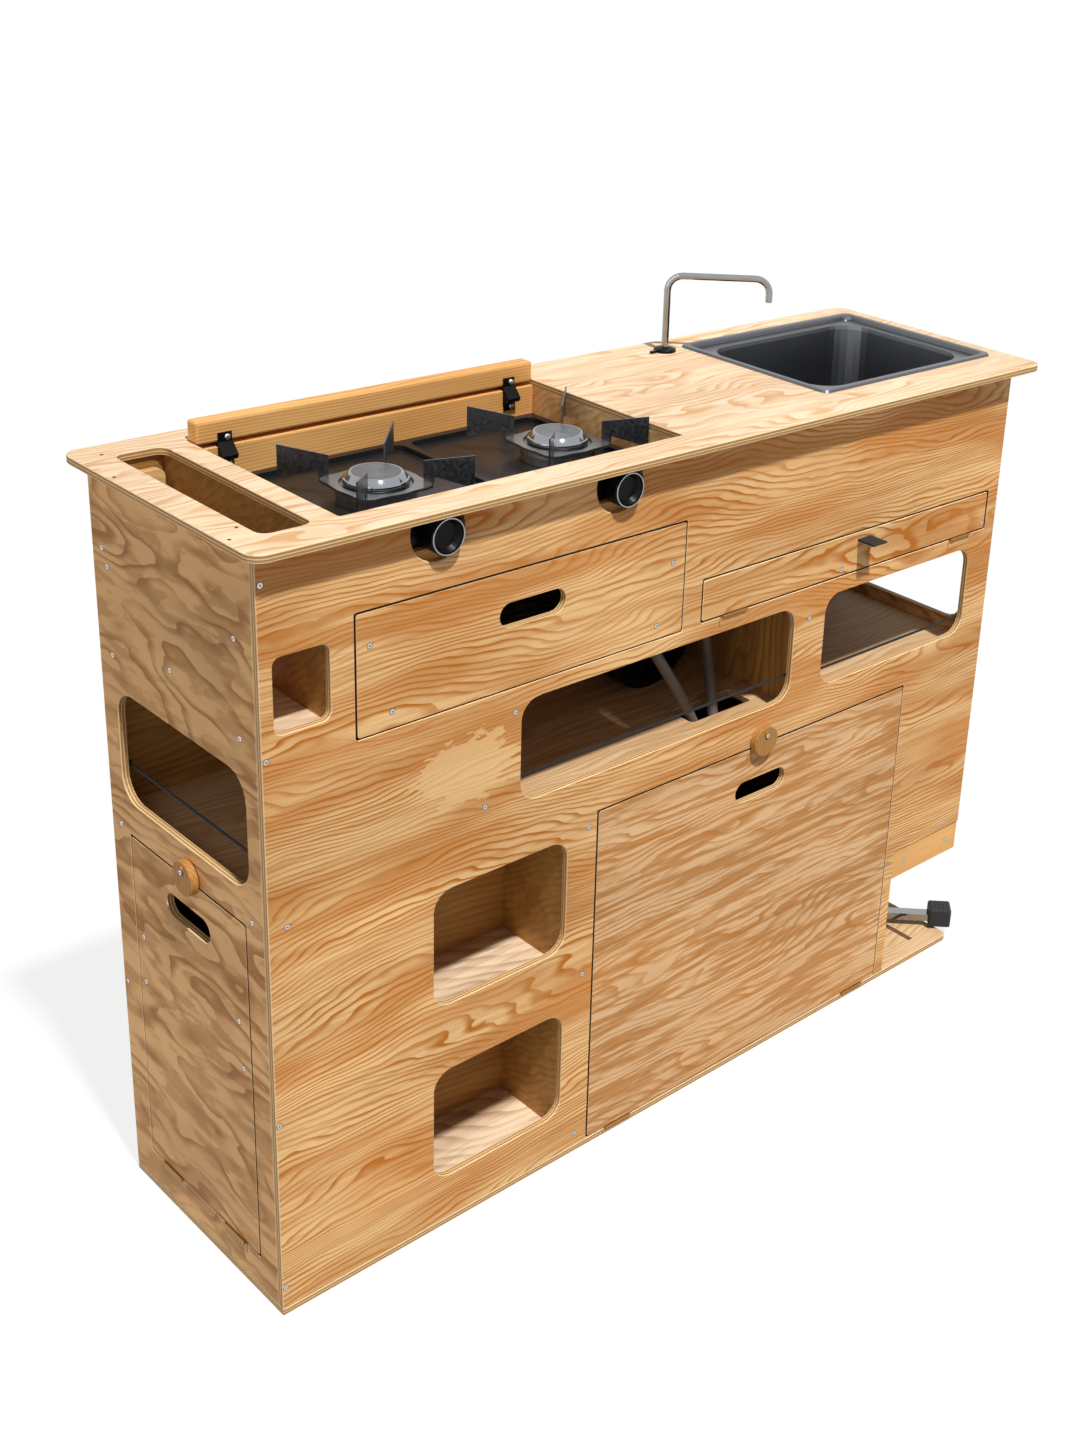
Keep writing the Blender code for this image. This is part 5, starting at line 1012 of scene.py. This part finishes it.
class POD_OT_stage(bpy.types.Operator):
    """White studio floor, soft key light from high in front, and the camera"""

    bl_idname = "pod.stage"
    bl_label = "Stage"

    def execute(self, context):
        s, c = context.scene.pod_sizes, context.scene.pod_colours
        scene = context.scene
        bm = bmesh.new()
        half = s.floor_size / 2
        sides = ((-half, -half), (half, -half), (half, half), (-half, half))
        bm.faces.new([bm.verts.new((x, y, 0.0)) for x, y in sides])
        mesh = bpy.data.meshes.new("studio_floor")
        bm.to_mesh(mesh)
        bm.free()
        floor = put("studio_floor", mesh)
        # White paper floor, matt. Most of its white is only seen, so the pod isn't lit from below
        # more than a plain floor would do, and its shadow stays soft and pale.
        material, tree, surface = start_material("white paper")
        paper = (0.9, 0.9, 0.9, 1)
        shade = add(tree, "Mix", {0: direct_or_mirrored(tree), 6: (*c.floor, 1), 7: paper}, **TINTS)
        feed(surface, {"Base Color": shade, "Roughness": 0.9, "Specular IOR Level": 0.0})
        white = add(tree, "Emission", {"Color": (1, 1, 1, 1), "Strength": 1.0})
        lift = add(tree, "Math", (direct_or_mirrored(tree), 0.84), "MULTIPLY")
        shown = add(tree, "MixShader", (lift, surface, white))
        feed(tree.nodes["Material Output"], {"Surface": shown})
        mesh.materials.append(material)

        # A hard key from high in front, and a broad, weak fill from the left for the end panel.
        lamps = (
            ("key", 63, -8, 3.5, 3, (1.0, 0.985, 0.955)),
            ("fill", 24, -78, 0.42, 50, (1.0, 0.98, 0.95)),
        )
        for name, elevation, azimuth, energy, angle, tint in lamps:
            elevation, azimuth = radians(elevation), radians(azimuth)
            flat = cos(elevation)
            toward = Vector((sin(azimuth) * flat, -cos(azimuth) * flat, sin(elevation)))
            data = bpy.data.lights.new(name, "SUN")
            data.energy, data.angle, data.color = energy, radians(angle), tint
            lamp = put(name, data)
            lamp.location = toward * 4
            lamp.rotation_euler = toward.to_track_quat("Z", "Y").to_euler()

        world = bpy.data.worlds.new("studio")
        scene.world = world
        world.use_nodes = True
        sky = world.node_tree
        sky.nodes.clear()
        light = add(sky, "Background", {"Color": (1.0, 0.97, 0.93, 1), "Strength": 0.20})
        seen = add(sky, "Background", {"Color": (1, 1, 1, 1), "Strength": 1.0})
        mixed = add(sky, "MixShader", (direct_or_mirrored(sky), light, seen))
        add(sky, "OutputWorld", {"Surface": mixed})

        data = bpy.data.cameras.new("camera")
        data.lens = CAMERA_LENS
        data.sensor_width = CAMERA_SENSOR
        data.shift_x, data.shift_y = CAMERA_SHIFT
        data.clip_start, data.clip_end = 0.05, 60.0
        camera = put("camera", data)
        a, e, r = (radians(v) for v in (CAMERA_AZIMUTH, CAMERA_ELEVATION, CAMERA_ROLL))
        back = Vector((sin(a) * cos(e), -cos(a) * cos(e), sin(e)))
        right = Vector((0, 0, 1)).cross(back).normalized()
        up = back.cross(right)
        turned_right = cos(r) * right + sin(r) * up
        turned_up = cos(r) * up - sin(r) * right
        turn = Matrix((turned_right, turned_up, back)).transposed()
        camera.matrix_world = Matrix.Translation(CAMERA_PLACE) @ turn.to_4x4()
        scene.camera = camera
        scene.view_settings.view_transform = "Standard"
        return {"FINISHED"}


class POD_PT_looks(bpy.types.Panel):
    """Sizes, colours and steps of the kitchen pod's looks"""

    bl_label = "Kitchen Pod"
    bl_idname = "POD_PT_looks"
    bl_space_type = "VIEW_3D"
    bl_region_type = "UI"
    bl_category = "Kitchen Pod"

    def draw(self, context):
        for group in (context.scene.pod_sizes, context.scene.pod_colours):
            column = self.layout.column(align=True)
            for name in group.__annotations__:
                column.prop(group, name)
        for operator in OPERATORS:
            self.layout.operator(operator.bl_idname)


OPERATORS = (
    POD_OT_plywood, POD_OT_solid_wood, POD_OT_hob, POD_OT_sink_and_tap, POD_OT_screws, POD_OT_knobs,
    POD_OT_hoses, POD_OT_cords, POD_OT_straps, POD_OT_hinges, POD_OT_pedal, POD_OT_stage,
)
CLASSES = (PodSizes, PodColours, *OPERATORS, POD_PT_looks)


def register():
    for item in CLASSES:
        bpy.utils.register_class(item)
    bpy.types.Scene.pod_sizes = bpy.props.PointerProperty(type=PodSizes)
    bpy.types.Scene.pod_colours = bpy.props.PointerProperty(type=PodColours)


def unregister():
    del bpy.types.Scene.pod_colours
    del bpy.types.Scene.pod_sizes
    for item in reversed(CLASSES):
        bpy.utils.unregister_class(item)


def main():
    register()
    for operator in OPERATORS:
        group, name = operator.bl_idname.split(".")
        getattr(getattr(bpy.ops, group), name)()


if __name__ == "__main__":
    main()
